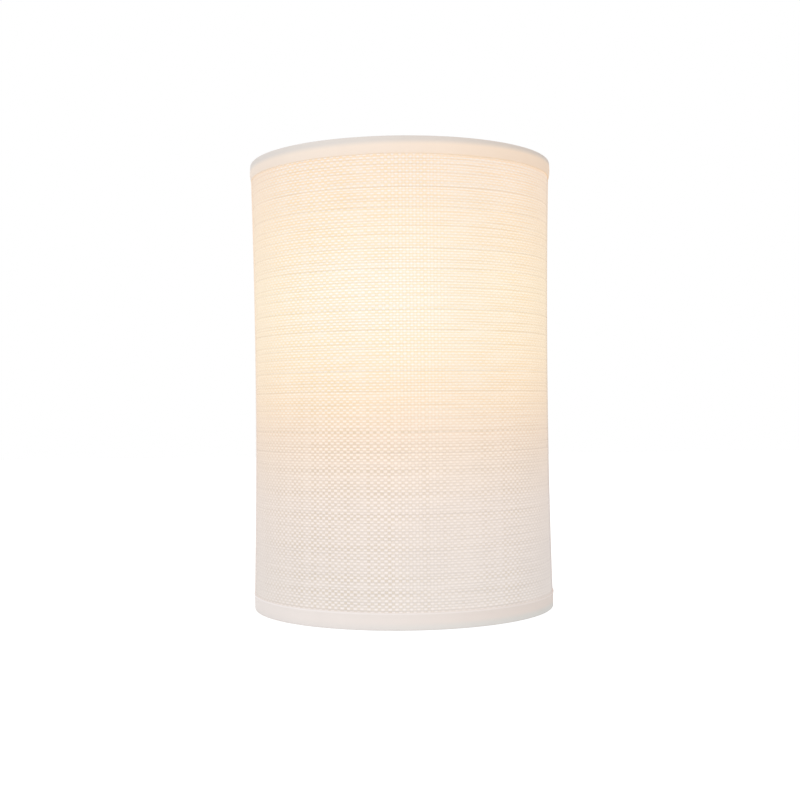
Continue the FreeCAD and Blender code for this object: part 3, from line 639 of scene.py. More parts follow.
@dataclass(frozen=True)
class WovenPanel(Finish):
    """Plain weave of thick flat yarns, lit from behind, with slub threads that run across.

    A grain holds the cells per metre of a noise round the shade and up it, and its start.
    """

    axis_y: float = -4.6 * MM
    radius: float = 94.4 * MM
    cloth: Colour = (0.50, 0.47, 0.435)
    roughness: float = 0.86
    sheen: float = 0.15
    glow: LampGlow = LampGlow()

    warp_pitch: float = 2.03 * MM
    weft_pitch: float = 1.59 * MM
    warp_edge: Span = Span(-0.70, 0.70, -1.0, 1.0)
    weft_edge: Span = Span(-0.60, 0.60, -1.0, 1.0)
    column_grain: tuple[float, float, float] = (260.0, 14.0, 0.0)
    column_pull: float = 1.1 * MM
    row_grain: tuple[float, float, float] = (14.0, 300.0, 4.0)
    row_pull: float = 0.9 * MM
    lit_from: Span = Span(-50.0 * MM, 10.0 * MM)

    slub_repeat: float = 34.8
    slub_start: float = 115.4
    slub_repeats_above: float = 8.0
    slubs: tuple[tuple[float, float], ...] = (
        (1.9, 0.45), (4.1, 1.0), (10.8, 0.55), (12.5, 0.50),
        (15.8, 0.95), (23.4, 0.60), (26.3, 0.65), (30.9, 0.55),
    )
    slub_shape: tuple[tuple[float, float], ...] = (
        (-0.75, 0.0), (0.0, 1.0), (0.95, -0.5), (1.6, 0.0),
    )
    slub_across: float = 35.0
    slub_up: float = 500.0
    slub_breaks: Span = Span(0.30, 0.55, 0.45, 1.0)
    slub_lit: Span = Span(-62.0 * MM, -34.0 * MM, 0.45, 1.0)

    reach: float = 95.0 * MM
    openness: tuple[tuple[float, float], ...] = (
        (-95.0 * MM, 0.05), (-90.0 * MM, 0.10), (-84.0 * MM, 0.45), (-69.0 * MM, 0.70),
        (-42.0 * MM, 1.0), (-15.0 * MM, 0.85), (0.0 * MM, 0.60), (29.0 * MM, 0.40),
        (59.0 * MM, 0.62), (74.0 * MM, 0.42), (84.0 * MM, 0.10), (95.0 * MM, 0.0),
    )
    open_patches: Noise = Noise(26.0, 2.0, Span(0.30, 0.70, 0.80, 1.15))
    dense_side: Span = Span(-10.0 * MM, 50.0 * MM)
    dense_loss: float = 0.3

    dash_tint: Tint = Tint((1.115, 1.132, 1.175), (1.020, 1.065, 1.150))
    gap_tint: Tint = Tint((0.870, 0.840, 0.770), (0.980, 0.945, 0.810))
    dot_edge: Span = Span(0.20, 0.90)
    dash_ends: Span = Span(0.20, 0.95)
    column_size: float = 190.0
    row_size: float = 230.0
    row_size_start: float = 7.0
    size_detail: float = 1.0
    gap_size: Span = Span(-0.22, 0.22, 0.45, 1.35)

    # Painted light and shade on the weave: lighter crests, darker grooves between the rows.
    crest_painted_light: Tint = Tint((1.074, 1.074, 1.074), (1.010, 1.076, 1.172))
    groove_painted_shade: Tint = Tint((0.926, 0.928, 0.928), (0.990, 0.926, 0.822))
    groove_grain: tuple[float, float, float] = (40.0, 420.0, 9.0)
    groove_uneven: Span = Span(0.30, 0.70, 0.65, 1.35)
    seam_at: float = 2.0 * MM
    seam_half: float = 34.0 * MM
    seam_share: Span = Span(0.0, 1.0, 0.12, 0.62)
    line_floor: float = 0.15
    line_range: float = 1.3
    line_fade: Span = Span(66.0 * MM, 89.0 * MM, 1.0, 0.15)

    warm_end: Colour = (1.060, 1.040, 1.025)
    left_end: Span = Span(-90.0 * MM, -45.0 * MM, 0.4, 0.0)
    right_end: Span = Span(25.0 * MM, 80.0 * MM)
    wire_shade: Colour = (0.83, 0.855, 0.90)
    wire_shade_at: float = 129.0 * MM
    wire_shade_half: float = 11.0 * MM

    level: float = 1.01
    cloud: Noise = Noise(38.0, 3.0)
    cloud_depth: float = 0.04
    slub_depth: float = 0.11
    # Painted shadow: a darker line on the cloth just above the bottom tape's proud fold.
    fold_shadow_at: float = -129.2 * MM
    fold_shadow_half: float = 0.9 * MM
    fold_shadow_depth: float = 0.07
    # Painted shade: the cloth is darker towards the rear edges.
    rear_edge_painted_shade: Span = Span(120.0 * MM, 136.0 * MM, 1.0, 0.95)

    relief: float = 0.22 * MM
    dot_relief: float = 0.25
    groove_relief: float = 0.2
    slub_relief: float = 0.3

    def grained(self, paint: Paint, around: Sock, height: Sock,
                grain: tuple[float, float, float]) -> Sock:
        """Noise on the unrolled cloth.

        Args:
            paint: The nodes under construction.
            around: Distance round the shade.
            height: Height on it.
            grain: Cells per metre round it and up it, and the start.

        Returns:
            The noise from 0 to 1.
        """
        across, up, start = grain
        return paint.noise(Noise(1.0), paint.vector(around * across, height * up, start))

    def point(self, paint: Paint) -> ClothPoint:
        """Where the painted point is on the cloth.

        Args:
            paint: The nodes under construction.

        Returns:
            Its place and what the weave does there.
        """
        side = paint.place(Axis.X)
        around = side.turn(self.axis_y - paint.place(Axis.Y)) * self.radius
        height = paint.place(Axis.Z)
        columns = self.grained(paint, around, height, self.column_grain) - MIDDLE
        rows = self.grained(paint, around, height, self.row_grain) - MIDDLE
        around = around + columns * self.column_pull
        height = height + rows * self.row_pull
        warp = (around * (math.pi / self.warp_pitch)).sin()
        weft = (height * (math.pi / self.weft_pitch)).sin()
        dots = warp.spread(self.warp_edge) * weft.spread(self.weft_edge)
        return ClothPoint(side, around, height, warp, weft, dots, height.spread(self.lit_from))

    def slub_lines(self, paint: Paint, point: ClothPoint) -> Sock:
        """Gaps and thick threads that repeat up the cloth.

        Args:
            paint: The nodes under construction.
            point: The painted point.

        Returns:
            0 on plain cloth, up to 1 in the dark gap and -0.5 on the thick thread below it.
        """
        steps, levels = zip(*self.slub_shape)
        places = sorted({round(place + step, 3) for place, _ in self.slubs for step in steps})
        stops = []
        for spot in places:
            level = sum(strength * float(np.interp(spot - place, steps, levels))
                        for place, strength in self.slubs)
            stops.append((spot / self.slub_repeat, (0.5 + 0.5 * level,) * 3))
        down = (self.slub_start - point.height / MM) / self.slub_repeat
        line = paint.ramp((down + self.slub_repeats_above).fraction(), stops) * 2.0 - 1.0
        breaks = paint.noise(Noise(1.0), paint.vector(point.side * self.slub_across,
                                                      point.height * self.slub_up))
        return line * breaks.spread(self.slub_breaks) * point.height.spread(self.slub_lit)

    def grooves(self, paint: Paint, point: ClothPoint) -> Sock:
        """Narrow valleys between the rows of yarn.

        Args:
            paint: The nodes under construction.
            point: The painted point.

        Returns:
            0 on a row and about 1 between two.
        """
        uneven = self.grained(paint, point.around, point.height, self.groove_grain)
        return (1.0 - point.weft * point.weft) * uneven.spread(self.groove_uneven)

    def open_share(self, paint: Paint, point: ClothPoint) -> Sock:
        """How plainly single dashes and gaps show.

        Args:
            paint: The nodes under construction.
            point: The painted point.

        Returns:
            0 where the weave looks closed and 1 where it is most open.
        """
        stops = [((place + self.reach) / (2 * self.reach), (level,) * 3)
                 for place, level in self.openness]
        across = (point.side + self.reach) / (2 * self.reach)
        dense = point.lit * point.side.spread(self.dense_side) * self.dense_loss
        return paint.ramp(across, stops) * paint.noise(self.open_patches) * (1.0 - dense)

    def yarn_light(self, paint: Paint, point: ClothPoint) -> Sock:
        """Pale dashes, dark gaps and the shadow of the right upright wire.

        Args:
            paint: The nodes under construction.
            point: The painted point.

        Returns:
            The factor on the light.
        """
        open_share = self.open_share(paint, point)
        columns = paint.vector(point.around * self.column_size, 0.0)
        rows = paint.vector(point.height * self.row_size, self.row_size_start)
        size = (paint.noise(Noise(1.0, self.size_detail), columns)
                + paint.noise(Noise(1.0, self.size_detail), rows) - 1.0)
        flat = (point.weft * point.weft).spread(self.dash_ends)
        dash = point.dots.spread(self.dot_edge) * flat * open_share
        gap = (0.0 - point.dots).spread(self.dot_edge) * size.spread(self.gap_size) * open_share
        yarn = paint.mix(gap, WHITE, self.gap_tint.at(paint, point.lit))
        yarn = paint.mix(dash, yarn, self.dash_tint.at(paint, point.lit))
        shadow = point.around.line(self.wire_shade_at, self.wire_shade_half)
        return paint.mix(shadow, yarn, paint.tinted(yarn, self.wire_shade))

    def line_light(self, paint: Paint, point: ClothPoint, groove: Sock) -> Sock:
        """Painted shade in the grooves between rows, and between columns where they show; lit
        crests.

        Args:
            paint: The nodes under construction.
            point: The painted point.
            groove: The valleys between the rows.

        Returns:
            The factor on the light.
        """
        seam = 1.0 - point.warp * point.warp
        share = point.side.line(self.seam_at, self.seam_half).spread(self.seam_share)
        lines = (groove + (seam - MIDDLE) * share + self.line_floor) / self.line_range
        fade = point.side.absolute().spread(self.line_fade)
        return paint.mix((lines - MIDDLE) * fade + MIDDLE,
                         self.crest_painted_light.at(paint, point.lit),
                         self.groove_painted_shade.at(paint, point.lit))

    def end_light(self, paint: Paint, point: ClothPoint) -> Sock:
        """Warmer light towards the two ends, up beside the lamp.

        Args:
            paint: The nodes under construction.
            point: The painted point.

        Returns:
            The factor on the light.
        """
        ends = (point.side.spread(self.left_end) + point.side.spread(self.right_end)) * point.lit
        return paint.mix(ends, WHITE, self.warm_end)

    def brightness(self, paint: Paint, point: ClothPoint, slub: Sock) -> Sock:
        """Clouds, slub lines, painted shadow above the bottom tape, painted shade at the rear
        edges.

        Args:
            paint: The nodes under construction.
            point: The painted point.
            slub: The slub lines.

        Returns:
            The factor on the light.
        """
        cloud = paint.noise(self.cloud) - MIDDLE
        # Painted shadow line where the bottom tape's fold stands proud of the cloth.
        fold_shadow = paint.place(Axis.Z).line(self.fold_shadow_at, self.fold_shadow_half)
        # Painted shade, darker towards the rear edges.
        edge = point.around.absolute().spread(self.rear_edge_painted_shade)
        return (self.level + cloud * self.cloud_depth - slub * self.slub_depth
                - fold_shadow * self.fold_shadow_depth) * edge

    def dress(self, paint: Paint) -> None:
        """Builds the nodes.

        Args:
            paint: The nodes under construction.
        """
        point = self.point(paint)
        groove = self.grooves(paint, point)
        slub = self.slub_lines(paint, point)
        weave = paint.tinted(self.yarn_light(paint, point), self.line_light(paint, point, groove))
        look = paint.scaled(paint.tinted(weave, self.end_light(paint, point)),
                            self.brightness(paint, point, slub))
        paint.set(Base_Color=paint.tinted(look, self.cloth), Roughness=self.roughness,
                  Sheen_Weight=self.sheen,
                  Emission_Color=paint.tinted(look, self.glow.light(paint)),
                  Emission_Strength=1.0)
        paint.bump(point.dots * self.dot_relief + MIDDLE - groove * self.groove_relief
                   - slub * self.slub_relief, self.relief)


@dataclass(frozen=True)
class RimLight:
    """Light through the tape at one rim. A pair of colours is for its left and right end."""

    rim: Rim
    free: tuple[Colour, Colour]
    wire: tuple[Colour, Colour]
    wire_edge: float
    wire_lean: float
    # fold is painted light added along the tape's free edge, a highlight at the bottom rim.
    fold: Colour
    fold_at: float
    fold_half: float

    def wire_shadow(self, height: Sock, side: Sock, blur: float) -> Sock:
        """Where the ring's wire blocks the light.

        Args:
            height: Height of the painted point.
            side: Its x.
            blur: How far the shadow's edge fades to each side.

        Returns:
            1 in the shadow.
        """
        outward = (height - side * self.wire_lean) * self.rim.value
        return outward.spread(Span(self.wire_edge - blur, self.wire_edge + blur))

    def fold_light(self, paint: Paint, height: Sock) -> Sock:
        """Painted light on the folded edge: a highlight on the bottom fold, a warm line on the
        top.
        """
        return paint.scaled(self.fold, height.line(self.fold_at, self.fold_half))


@dataclass(frozen=True)
class BindingTape(Finish):
    """Smooth cotton tape, lit from behind except where the frame's wire blocks the light."""

    cloth: Colour = (0.52, 0.49, 0.46)
    roughness: float = 0.82
    sheen: float = 0.15
    yarn: float = 0.42 * MM
    yarn_share: float = 0.02
    cloud: Noise = Noise(45.0, 3.0)
    cloud_share: float = 0.05
    relief: float = 0.05 * MM
    yarn_relief: float = 0.5
    ends: Span = Span(-85.0 * MM, 85.0 * MM)
    rims: Span = Span(-60.0 * MM, 60.0 * MM)
    wire_blur: float = 1.9 * MM
    top: RimLight = RimLight(
        rim=Rim.TOP,
        free=((0.455, 0.360, 0.285), (0.475, 0.320, 0.195)),
        wire=((0.290, 0.265, 0.250), (0.235, 0.185, 0.150)),
        wire_edge=136.3 * MM, wire_lean=0.010,
        fold=(0.020, -0.010, -0.060), fold_at=129.5 * MM, fold_half=0.9 * MM,
    )
    bottom: RimLight = RimLight(
        rim=Rim.BOTTOM,
        free=((0.385, 0.345, 0.335), (0.325, 0.265, 0.235)),
        wire=((0.345, 0.315, 0.310), (0.260, 0.260, 0.250)),
        wire_edge=136.7 * MM, wire_lean=0.006,
        fold=(0.055, 0.062, 0.075), fold_at=-130.3 * MM, fold_half=0.7 * MM,
    )

    def light(self, paint: Paint, side: Sock, height: Sock) -> Sock:
        """Colour of the light that comes through.

        Args:
            paint: The nodes under construction.
            side: x of the painted point.
            height: Its height.

        Returns:
            The colour.
        """
        across = side.spread(self.ends)
        upper = height.spread(self.rims)
        free = paint.mix(upper, paint.mix(across, *self.bottom.free),
                         paint.mix(across, *self.top.free))
        blocked = paint.mix(upper, paint.mix(across, *self.bottom.wire),
                            paint.mix(across, *self.top.wire))
        over = self.top.wire_shadow(height, side, self.wire_blur)
        under = self.bottom.wire_shadow(height, side, self.wire_blur)
        painted_fold_light = paint.added(self.top.fold_light(paint, height),
                            self.bottom.fold_light(paint, height))
        return paint.added(paint.mix(over.at_least(under), free, blocked), painted_fold_light)

    def dress(self, paint: Paint) -> None:
        """Builds the nodes.

        Args:
            paint: The nodes under construction.
        """
        side = paint.place(Axis.X)
        height = paint.place(Axis.Z)
        turn = 2 * math.pi / self.yarn
        yarns = (height * turn).sin() * ((side + paint.place(Axis.Y)) * turn).sin()
        cloud = paint.noise(self.cloud) - MIDDLE
        bright = 1.0 + yarns * self.yarn_share + cloud * self.cloud_share
        paint.set(Base_Color=paint.scaled(self.cloth, bright), Roughness=self.roughness,
                  Sheen_Weight=self.sheen,
                  Emission_Color=paint.scaled(self.light(paint, side, height), bright),
                  Emission_Strength=1.0)
        paint.bump(yarns * self.yarn_relief + cloud + MIDDLE, self.relief)


@dataclass(frozen=True)
class ShadeBacking(Finish):
    """Translucent sheet inside the shade, bright where the lamp is near."""

    colour: Colour = (0.65, 0.64, 0.62)
    passed: Colour = (0.80, 0.90, 1.00)
    roughness: float = 0.42
    cloud: Noise = Noise(70.0, 3.0)
    cloud_share: float = 0.06
    cloud_roughness: float = 0.1
    skin: Noise = Noise(600.0)
    skin_depth: float = 0.03 * MM
    glow: LampGlow = LampGlow()

    def dress(self, paint: Paint) -> None:
        """Builds the nodes.

        Args:
            paint: The nodes under construction.
        """
        cloud = paint.noise(self.cloud) - MIDDLE
        bright = 1.0 + cloud * self.cloud_share
        light = paint.tinted(self.glow.light(paint), self.passed)
        paint.set(Base_Color=paint.scaled(self.colour, bright),
                  Roughness=self.roughness + cloud * self.cloud_roughness,
                  Emission_Color=paint.scaled(light, bright), Emission_Strength=1.0)
        paint.bump(paint.noise(self.skin), self.skin_depth)


@dataclass(frozen=True)
class LitDome(Finish):
    """Opal dome of the lit lamp, a little dimmer towards its rim."""

    climb: Span = Span(43.0 * MM, 72.0 * MM)
    low: Colour = (0.56, 0.45, 0.33)
    high: Colour = (0.60, 0.54, 0.44)
    opal: Colour = (0.36, 0.35, 0.33)
    cloudy: Colour = (0.33, 0.32, 0.30)
    speck: Noise = Noise(300.0, 3.0)
    roughness: float = 0.22
    speck_roughness: float = 0.08

    def dress(self, paint: Paint) -> None:
        """Builds the nodes.

        Args:
            paint: The nodes under construction.
        """
        speck = paint.noise(self.speck)
        climb = paint.place(Axis.Z).spread(self.climb)
        paint.set(Base_Color=paint.mix(speck, self.opal, self.cloudy),
                  Roughness=self.roughness + speck * self.speck_roughness,
                  Emission_Color=paint.mix(climb, self.low, self.high), Emission_Strength=1.0)


@dataclass(frozen=True)
class LitChip(Finish):
    """Phosphor of the light-emitting chips."""

    light: Colour = (1.0, 0.85, 0.6)
    pale: Colour = (0.85, 0.66, 0.16)
    deep: Colour = (0.78, 0.58, 0.12)
    speck: Noise = Noise(2000.0)
    roughness: float = 0.4

    def dress(self, paint: Paint) -> None:
        """Builds the nodes.

        Args:
            paint: The nodes under construction.
        """
        paint.set(Base_Color=paint.mix(paint.noise(self.speck), self.pale, self.deep),
                  Roughness=self.roughness, Emission_Color=self.light, Emission_Strength=1.0)


ENAMEL = Coating()
WIRE_COATING = Coating(colour=(0.82, 0.81, 0.79), roughness=0.40, peel=Noise(1400.0))
ZINC = Metal()
NIPPLE_THREAD = Metal(thread_pitch=1.0 * MM)
NICKEL = Metal(colour=(0.66, 0.63, 0.58), roughness=0.16, stain=(0.50, 0.47, 0.42))
BRASS = Metal(colour=(0.66, 0.48, 0.20), roughness=0.24, stain=(0.47, 0.33, 0.14))
CAP_METAL = Metal(colour=(0.70, 0.69, 0.66), roughness=0.22, stain=(0.52, 0.51, 0.48))
THERMOSET = Moulding(colour=(0.80, 0.78, 0.73), roughness=0.24)
STEATITE = Moulding(colour=(0.76, 0.72, 0.63), roughness=0.58, skin_depth=0.06 * MM)
POLYAMIDE = Moulding(colour=(0.74, 0.73, 0.70), roughness=0.46)
LAMP_WHITE = Moulding(colour=(0.80, 0.79, 0.76), roughness=0.36)
BOARD_WHITE = Moulding(colour=(0.80, 0.80, 0.78), roughness=0.45, mottle=0.03)
BOARD_GREEN = Moulding(colour=(0.03, 0.17, 0.06), roughness=0.40, mottle=0.2)
BLACK_GLASS = Moulding(colour=(0.02, 0.02, 0.022), roughness=0.18, skin_depth=0.01 * MM)
RUBBER = Moulding(colour=(0.028, 0.028, 0.030), roughness=0.62, mottle=0.25,
                  skin_depth=0.06 * MM)
BROWN = Insulation((0.13, 0.055, 0.022))
BLUE = Insulation((0.03, 0.10, 0.36))
GREEN_YELLOW = Insulation((0.04, 0.24, 0.05), (0.80, 0.62, 0.04))
BRAID = Braid()
PANEL = WovenPanel()
TAPE = BindingTape()
BACKING = ShadeBacking()
DOME = LitDome()
CHIP = LitChip()


# ------------------------------------------------------------------ mesh tools

class Body(Enum):
    """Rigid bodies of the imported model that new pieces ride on."""

    WALL_UNIT = "wall_unit"
    SHADE = "shade"


@dataclass(frozen=True)
class Ripple:
    """Smooth unevenness along a line, with its seed and the length of its longest wave."""

    seed: int
    longest: float
    waves: int = 5

    def at(self, along: np.ndarray, shift: int = 0) -> np.ndarray:
        """Unevenness from -1 to 1 at places on the line.

        Args:
            along: The places.
            shift: Added to the seed, so that two like pieces differ.

        Returns:
            The unevenness at each place.
        """
        draw = np.random.default_rng(self.seed + shift)
        waves = range(1, self.waves + 1)
        total = np.zeros_like(along)
        for wave in waves:
            turn = 2 * math.pi * along * wave / self.longest + draw.uniform(0, 2 * math.pi)
            total = total + np.sin(turn) / wave
        return total / sum(1 / wave for wave in waves)


def settle(name: str, mesh: bpy.types.Mesh, finish: Finish, body: Body) -> bpy.types.Object:
    """Makes an object of a mesh, smooths it, dresses it and lets it ride on a body.

    Args:
        name: The piece's name.
        mesh: Its mesh, in place.
        finish: Its finish.
        body: What it moves with.

    Returns:
        The object.
    """
    obj = bpy.data.objects.new(name, mesh)
    bpy.context.scene.collection.objects.link(obj)
    mesh.polygons.foreach_set("use_smooth", [True] * len(mesh.polygons))
    finish.on(obj)
    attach(obj, body.value)
    log.info("%s: %d faces on %s", name, len(mesh.polygons), body.value)
    return obj


def dress_nodes(nodes: Mapping[str, bpy.types.Object], finishes: Mapping[str, Finish]) -> None:
    """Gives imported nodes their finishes.

    Args:
        nodes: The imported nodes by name.
        finishes: The finish of each node to dress.
    """
    for name, finish in finishes.items():
        finish.on(nodes[name])
        log.info("%s dressed", name)


def shell_mesh(name: str, outer: np.ndarray, inner: np.ndarray,
               turned: bool = False) -> bpy.types.Mesh:
    """Closed sheet between two grids of points.

    Args:
        name: The mesh's name.
        outer: Points of the side that faces out, as rows x columns x 3.
        inner: Points of the other side, in the same order.
        turned: Whether the rows run the other way, which would turn the sheet inside out.

    Returns:
        The mesh.
    """
    if turned:
        outer, inner = outer[::-1], inner[::-1]
    rows, columns = outer.shape[:2]
    count = rows * columns
    points = np.vstack([outer.reshape(-1, 3), inner.reshape(-1, 3)])
    index = np.arange(count).reshape(rows, columns)

    def quads(grid: np.ndarray) -> np.ndarray:
        """Faces of one grid."""
        corners = [grid[:-1, :-1], grid[:-1, 1:], grid[1:, 1:], grid[1:, :-1]]
        return np.stack(corners, axis=-1).reshape(-1, 4)

    def rim(line: np.ndarray) -> np.ndarray:
        """Faces between an edge of the outer side and the same edge of the inner side."""
        corners = [line[:-1], line[:-1] + count, line[1:] + count, line[1:]]
        return np.stack(corners, axis=-1)

    faces = np.vstack([
        quads(index),
        quads(index)[:, ::-1] + count,
        rim(index[0]),
        rim(index[-1, ::-1]),
        rim(index[::-1, 0]),
        rim(index[:, -1]),
    ])
    mesh = bpy.data.meshes.new(name)
    mesh.from_pydata(points.tolist(), [], faces.tolist())
    mesh.update()
    return mesh


def gaps(path: np.ndarray) -> np.ndarray:
    """Distance from each point of a path to the next."""
    return np.linalg.norm(np.diff(path, axis=0), axis=1)


def distances(path: np.ndarray) -> np.ndarray:
    """Distance along a path to each of its points."""
    return np.concatenate([[0.0], np.cumsum(gaps(path))])


def leftward(path: np.ndarray) -> np.ndarray:
    """Finds the way to the left of a path.

    Args:
        path: Points in a plane.

    Returns:
        A unit vector for each point, square to the path.
    """
    ahead = np.gradient(path, axis=0)
    ahead = ahead / np.linalg.norm(ahead, axis=1)[:, None]
    return np.stack([-ahead[:, 1], ahead[:, 0]], axis=1)


def rounded_path(points: Sequence[tuple[float, float]], step: float, cut: float = 0.25,
                 rounds: int = 3) -> np.ndarray:
    """Points close together along a line through corner points, its corners cut a little.

    Args:
        points: The corners.
        step: Distance between the points.
        cut: Share of each side that a cut takes off.
        rounds: How often the corners are cut.

    Returns:
        The points.
    """
    corners = np.array(points, float)
    for _ in range(rounds):
        ahead = (1 - cut) * corners[:-1] + cut * corners[1:]
        behind = cut * corners[:-1] + (1 - cut) * corners[1:]
        sides = np.stack([ahead, behind], axis=1).reshape(-1, 2)
        corners = np.vstack([corners[:1], sides[1:-1], corners[-1:]])
    reach = distances(corners)
    wanted = np.linspace(0.0, reach[-1], max(2, int(round(reach[-1] / step)) + 1))
    return np.stack([np.interp(wanted, reach, corners[:, i]) for i in range(2)], axis=1)


def beads_mesh(name: str, places: Sequence[tuple[Vector, Vector]], seed: int = 7,
               lumpy: float = 0.3) -> bpy.types.Mesh:
    """Small rounded lumps, such as weld beads.

    Args:
        name: The mesh's name.
        places: Centre and half sizes of each lump.
        seed: Seed of their unevenness.
        lumpy: How uneven they are.

    Returns:
        The mesh.
    """
    form = bmesh.new()
    draw = np.random.default_rng(seed)
    for centre, half in places:
        made = bmesh.ops.create_icosphere(form, subdivisions=3, radius=1.0)["verts"]
        lumps = draw.uniform(0.9, 1.1, len(made))
        for vertex, lump in zip(made, lumps):
            pushed = vertex.co * float(lump * lumpy + (1 - lumpy))
            vertex.co = centre + Vector(a * b for a, b in zip(pushed, half))
    mesh = bpy.data.meshes.new(name)
    form.to_mesh(mesh)
    form.free()
    return mesh


# ------------------------------------------------------------------ shade

@dataclass
class Shade:
    """Woven panel and binding tapes over the wire frame and its backing sheet."""

    axis_y: float = -4.6 * MM
    radius: float = 94.4 * MM
    rim: float = 140.0 * MM
    waist: float = 2.0 * MM
    backing_inside: float = 93.3 * MM
    wire_radius: float = 1.6 * MM
    ring_radius: float = 91.5 * MM
    ring_height: float = 137.8 * MM
    crossbar_height: float = 82.0 * MM

    panel_rim: float = 138.9 * MM
    panel_columns: int = 201
    panel_rows: int = 141
    panel_sunk: float = 0.15 * MM
    panel_uneven: float = 0.18 * MM
    panel_round: Ripple = Ripple(3, 0.11)
    panel_up: Ripple = Ripple(4, 0.16)
    panel_fade: float = 14.0 * MM
    cloth_thickness: float = 0.6 * MM
    slub_depth: float = 0.12 * MM
    slub_half: float = 0.35 * MM
    slub_waver: float = 0.3
    slub_round: Ripple = Ripple(5, 0.05)
    slub_rows: int = 3
    slub_row_gap: float = 0.25 * MM
    slub_least: float = 0.9
    slub_repeats: int = 8
    slub_margin: float = 2.0 * MM

    tape_thickness: float = 0.5 * MM
    tape_room: float = 0.6 * MM
    tape_step: float = 0.5 * MM
    tape_height: float = 10.4 * MM
    tape_turn_in: float = 10.0 * MM
    tape_columns: int = 241
    tape_uneven: float = 0.22 * MM
    tape_wander: Ripple = Ripple(11, 0.13)
    tape_puffed: float = 0.10 * MM
    tape_puff: Ripple = Ripple(21, 0.09)
    tape_even: float = 4.0 * MM
    top_tape_radius: float = 94.9 * MM
    top_tape_swell: float = 0.35 * MM
    top_fold: float = 0.05 * MM
    bottom_tape_radius: float = 94.6 * MM
    bottom_tape_swell: float = 0.05 * MM
    bottom_fold: float = 0.35 * MM
    lip_out: float = 0.25 * MM
    lip_up: float = 0.6 * MM
    swell_low: float = 2.6 * MM
    swell_middle: float = 5.0 * MM
    swell_high: float = 2.4 * MM
    swell_low_share: float = 0.7
    swell_high_share: float = 0.5
    foot_in: float = 0.15 * MM
    foot_up: float = 3.0 * MM
    lip_thin: float = 0.25
    lip_run: float = 3.0 * MM

    edge_tape: float = 8.0 * MM
    edge_step: float = 0.45 * MM
    edge_flat: float = 0.6
    edge_lift: float = 0.1 * MM
    edge_lap: float = 1.0 * MM
    edge_rows: int = 121
    edge_uneven: float = 0.15 * MM
    edge_wander: Ripple = Ripple(31, 0.12)

    ring_bead: tuple[float, float, float] = (2.0 * MM, 2.0 * MM, 0.9 * MM)
    crossbar_bead: tuple[float, float, float] = (0.8 * MM, 1.9 * MM, 1.9 * MM)
    finishes: ClassVar[dict[str, Finish]] = {
        "shade_liner": BACKING, "top_ring": WIRE_COATING, "bottom_ring": WIRE_COATING,
        "frame_stiles": WIRE_COATING, "frame_crossbars": WIRE_COATING,
    }

    def drawn_in(self, radius: np.ndarray | float, height: np.ndarray) -> np.ndarray:
        """Radius at a height, with the waist between the rims."""
        bow = (self.rim ** 2 + self.waist ** 2) / (2 * self.waist)
        return radius - self.waist + bow - np.sqrt(bow ** 2 - height ** 2)

    def grid(self, radius: np.ndarray, height: np.ndarray, turn: np.ndarray) -> np.ndarray:
        """Points round the shade.

        Args:
            radius: Radius of each point.
            height: Height of each point.
            turn: Angle of each point from the -x end, in radians.

        Returns:
            The points, with x, y and z last.
        """
        x = -radius * np.cos(turn)
        y = self.axis_y - radius * np.sin(turn)
        return np.stack([x, y, height + 0 * x], axis=-1)

    def panel_heights(self) -> np.ndarray:
        """Heights of the panel's rows, close together at the slub lines.

        Returns:
            The heights, lowest first.
        """
        even = np.linspace(-self.panel_rim, self.panel_rim, self.panel_rows)
        rows = set(np.round(even, 7))
        for line in self.slub_lines():
            rows |= {round(line + step * self.slub_row_gap, 7)
                     for step in range(-self.slub_rows, self.slub_rows + 1)}
        return np.array(sorted(row for row in rows if abs(row) <= self.panel_rim))

    def slub_lines(self) -> list[float]:
        """Heights of the deepest slub lines.

        Returns:
            The heights, highest first within each repeat.
        """
        deep = [place for place, strength in PANEL.slubs if strength > self.slub_least]
        lines = [(PANEL.slub_start - place - repeat * PANEL.slub_repeat) * MM
                 for repeat in range(self.slub_repeats) for place in deep]
        return [line for line in lines if abs(line) < self.panel_rim - self.slub_margin]

    def build_panel(self) -> bpy.types.Object:
        """The woven panel, with its slub lines pressed in and a slight unevenness.

        Returns:
            The panel.
        """
        turn = np.linspace(0.0, math.pi, self.panel_columns)[None, :]
        height = self.panel_heights()[:, None]
        around = turn * self.radius
        uneven = self.panel_round.at(around) * self.panel_up.at(height) * self.panel_uneven
        fade = np.clip((self.panel_rim - np.abs(height)) / self.panel_fade, 0, 1)
        groove = np.zeros_like(height)
        for line in self.slub_lines():
            groove = groove + np.exp(-((height - line) / self.slub_half) ** 2)
        waver = (1 - self.slub_waver) + self.slub_waver * self.slub_round.at(around)
        sunk = groove * self.slub_depth * waver
        base = self.drawn_in(self.radius, height) + (uneven - self.panel_sunk) * fade
        outer = self.grid(base - sunk, height, turn)
        inner = self.grid(base - self.cloth_thickness + self.panel_sunk * fade, height, turn)
        obj = settle("woven_panel", shell_mesh("woven_panel", outer, inner), PANEL, Body.SHADE)
        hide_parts("shade_fabric")
        return obj

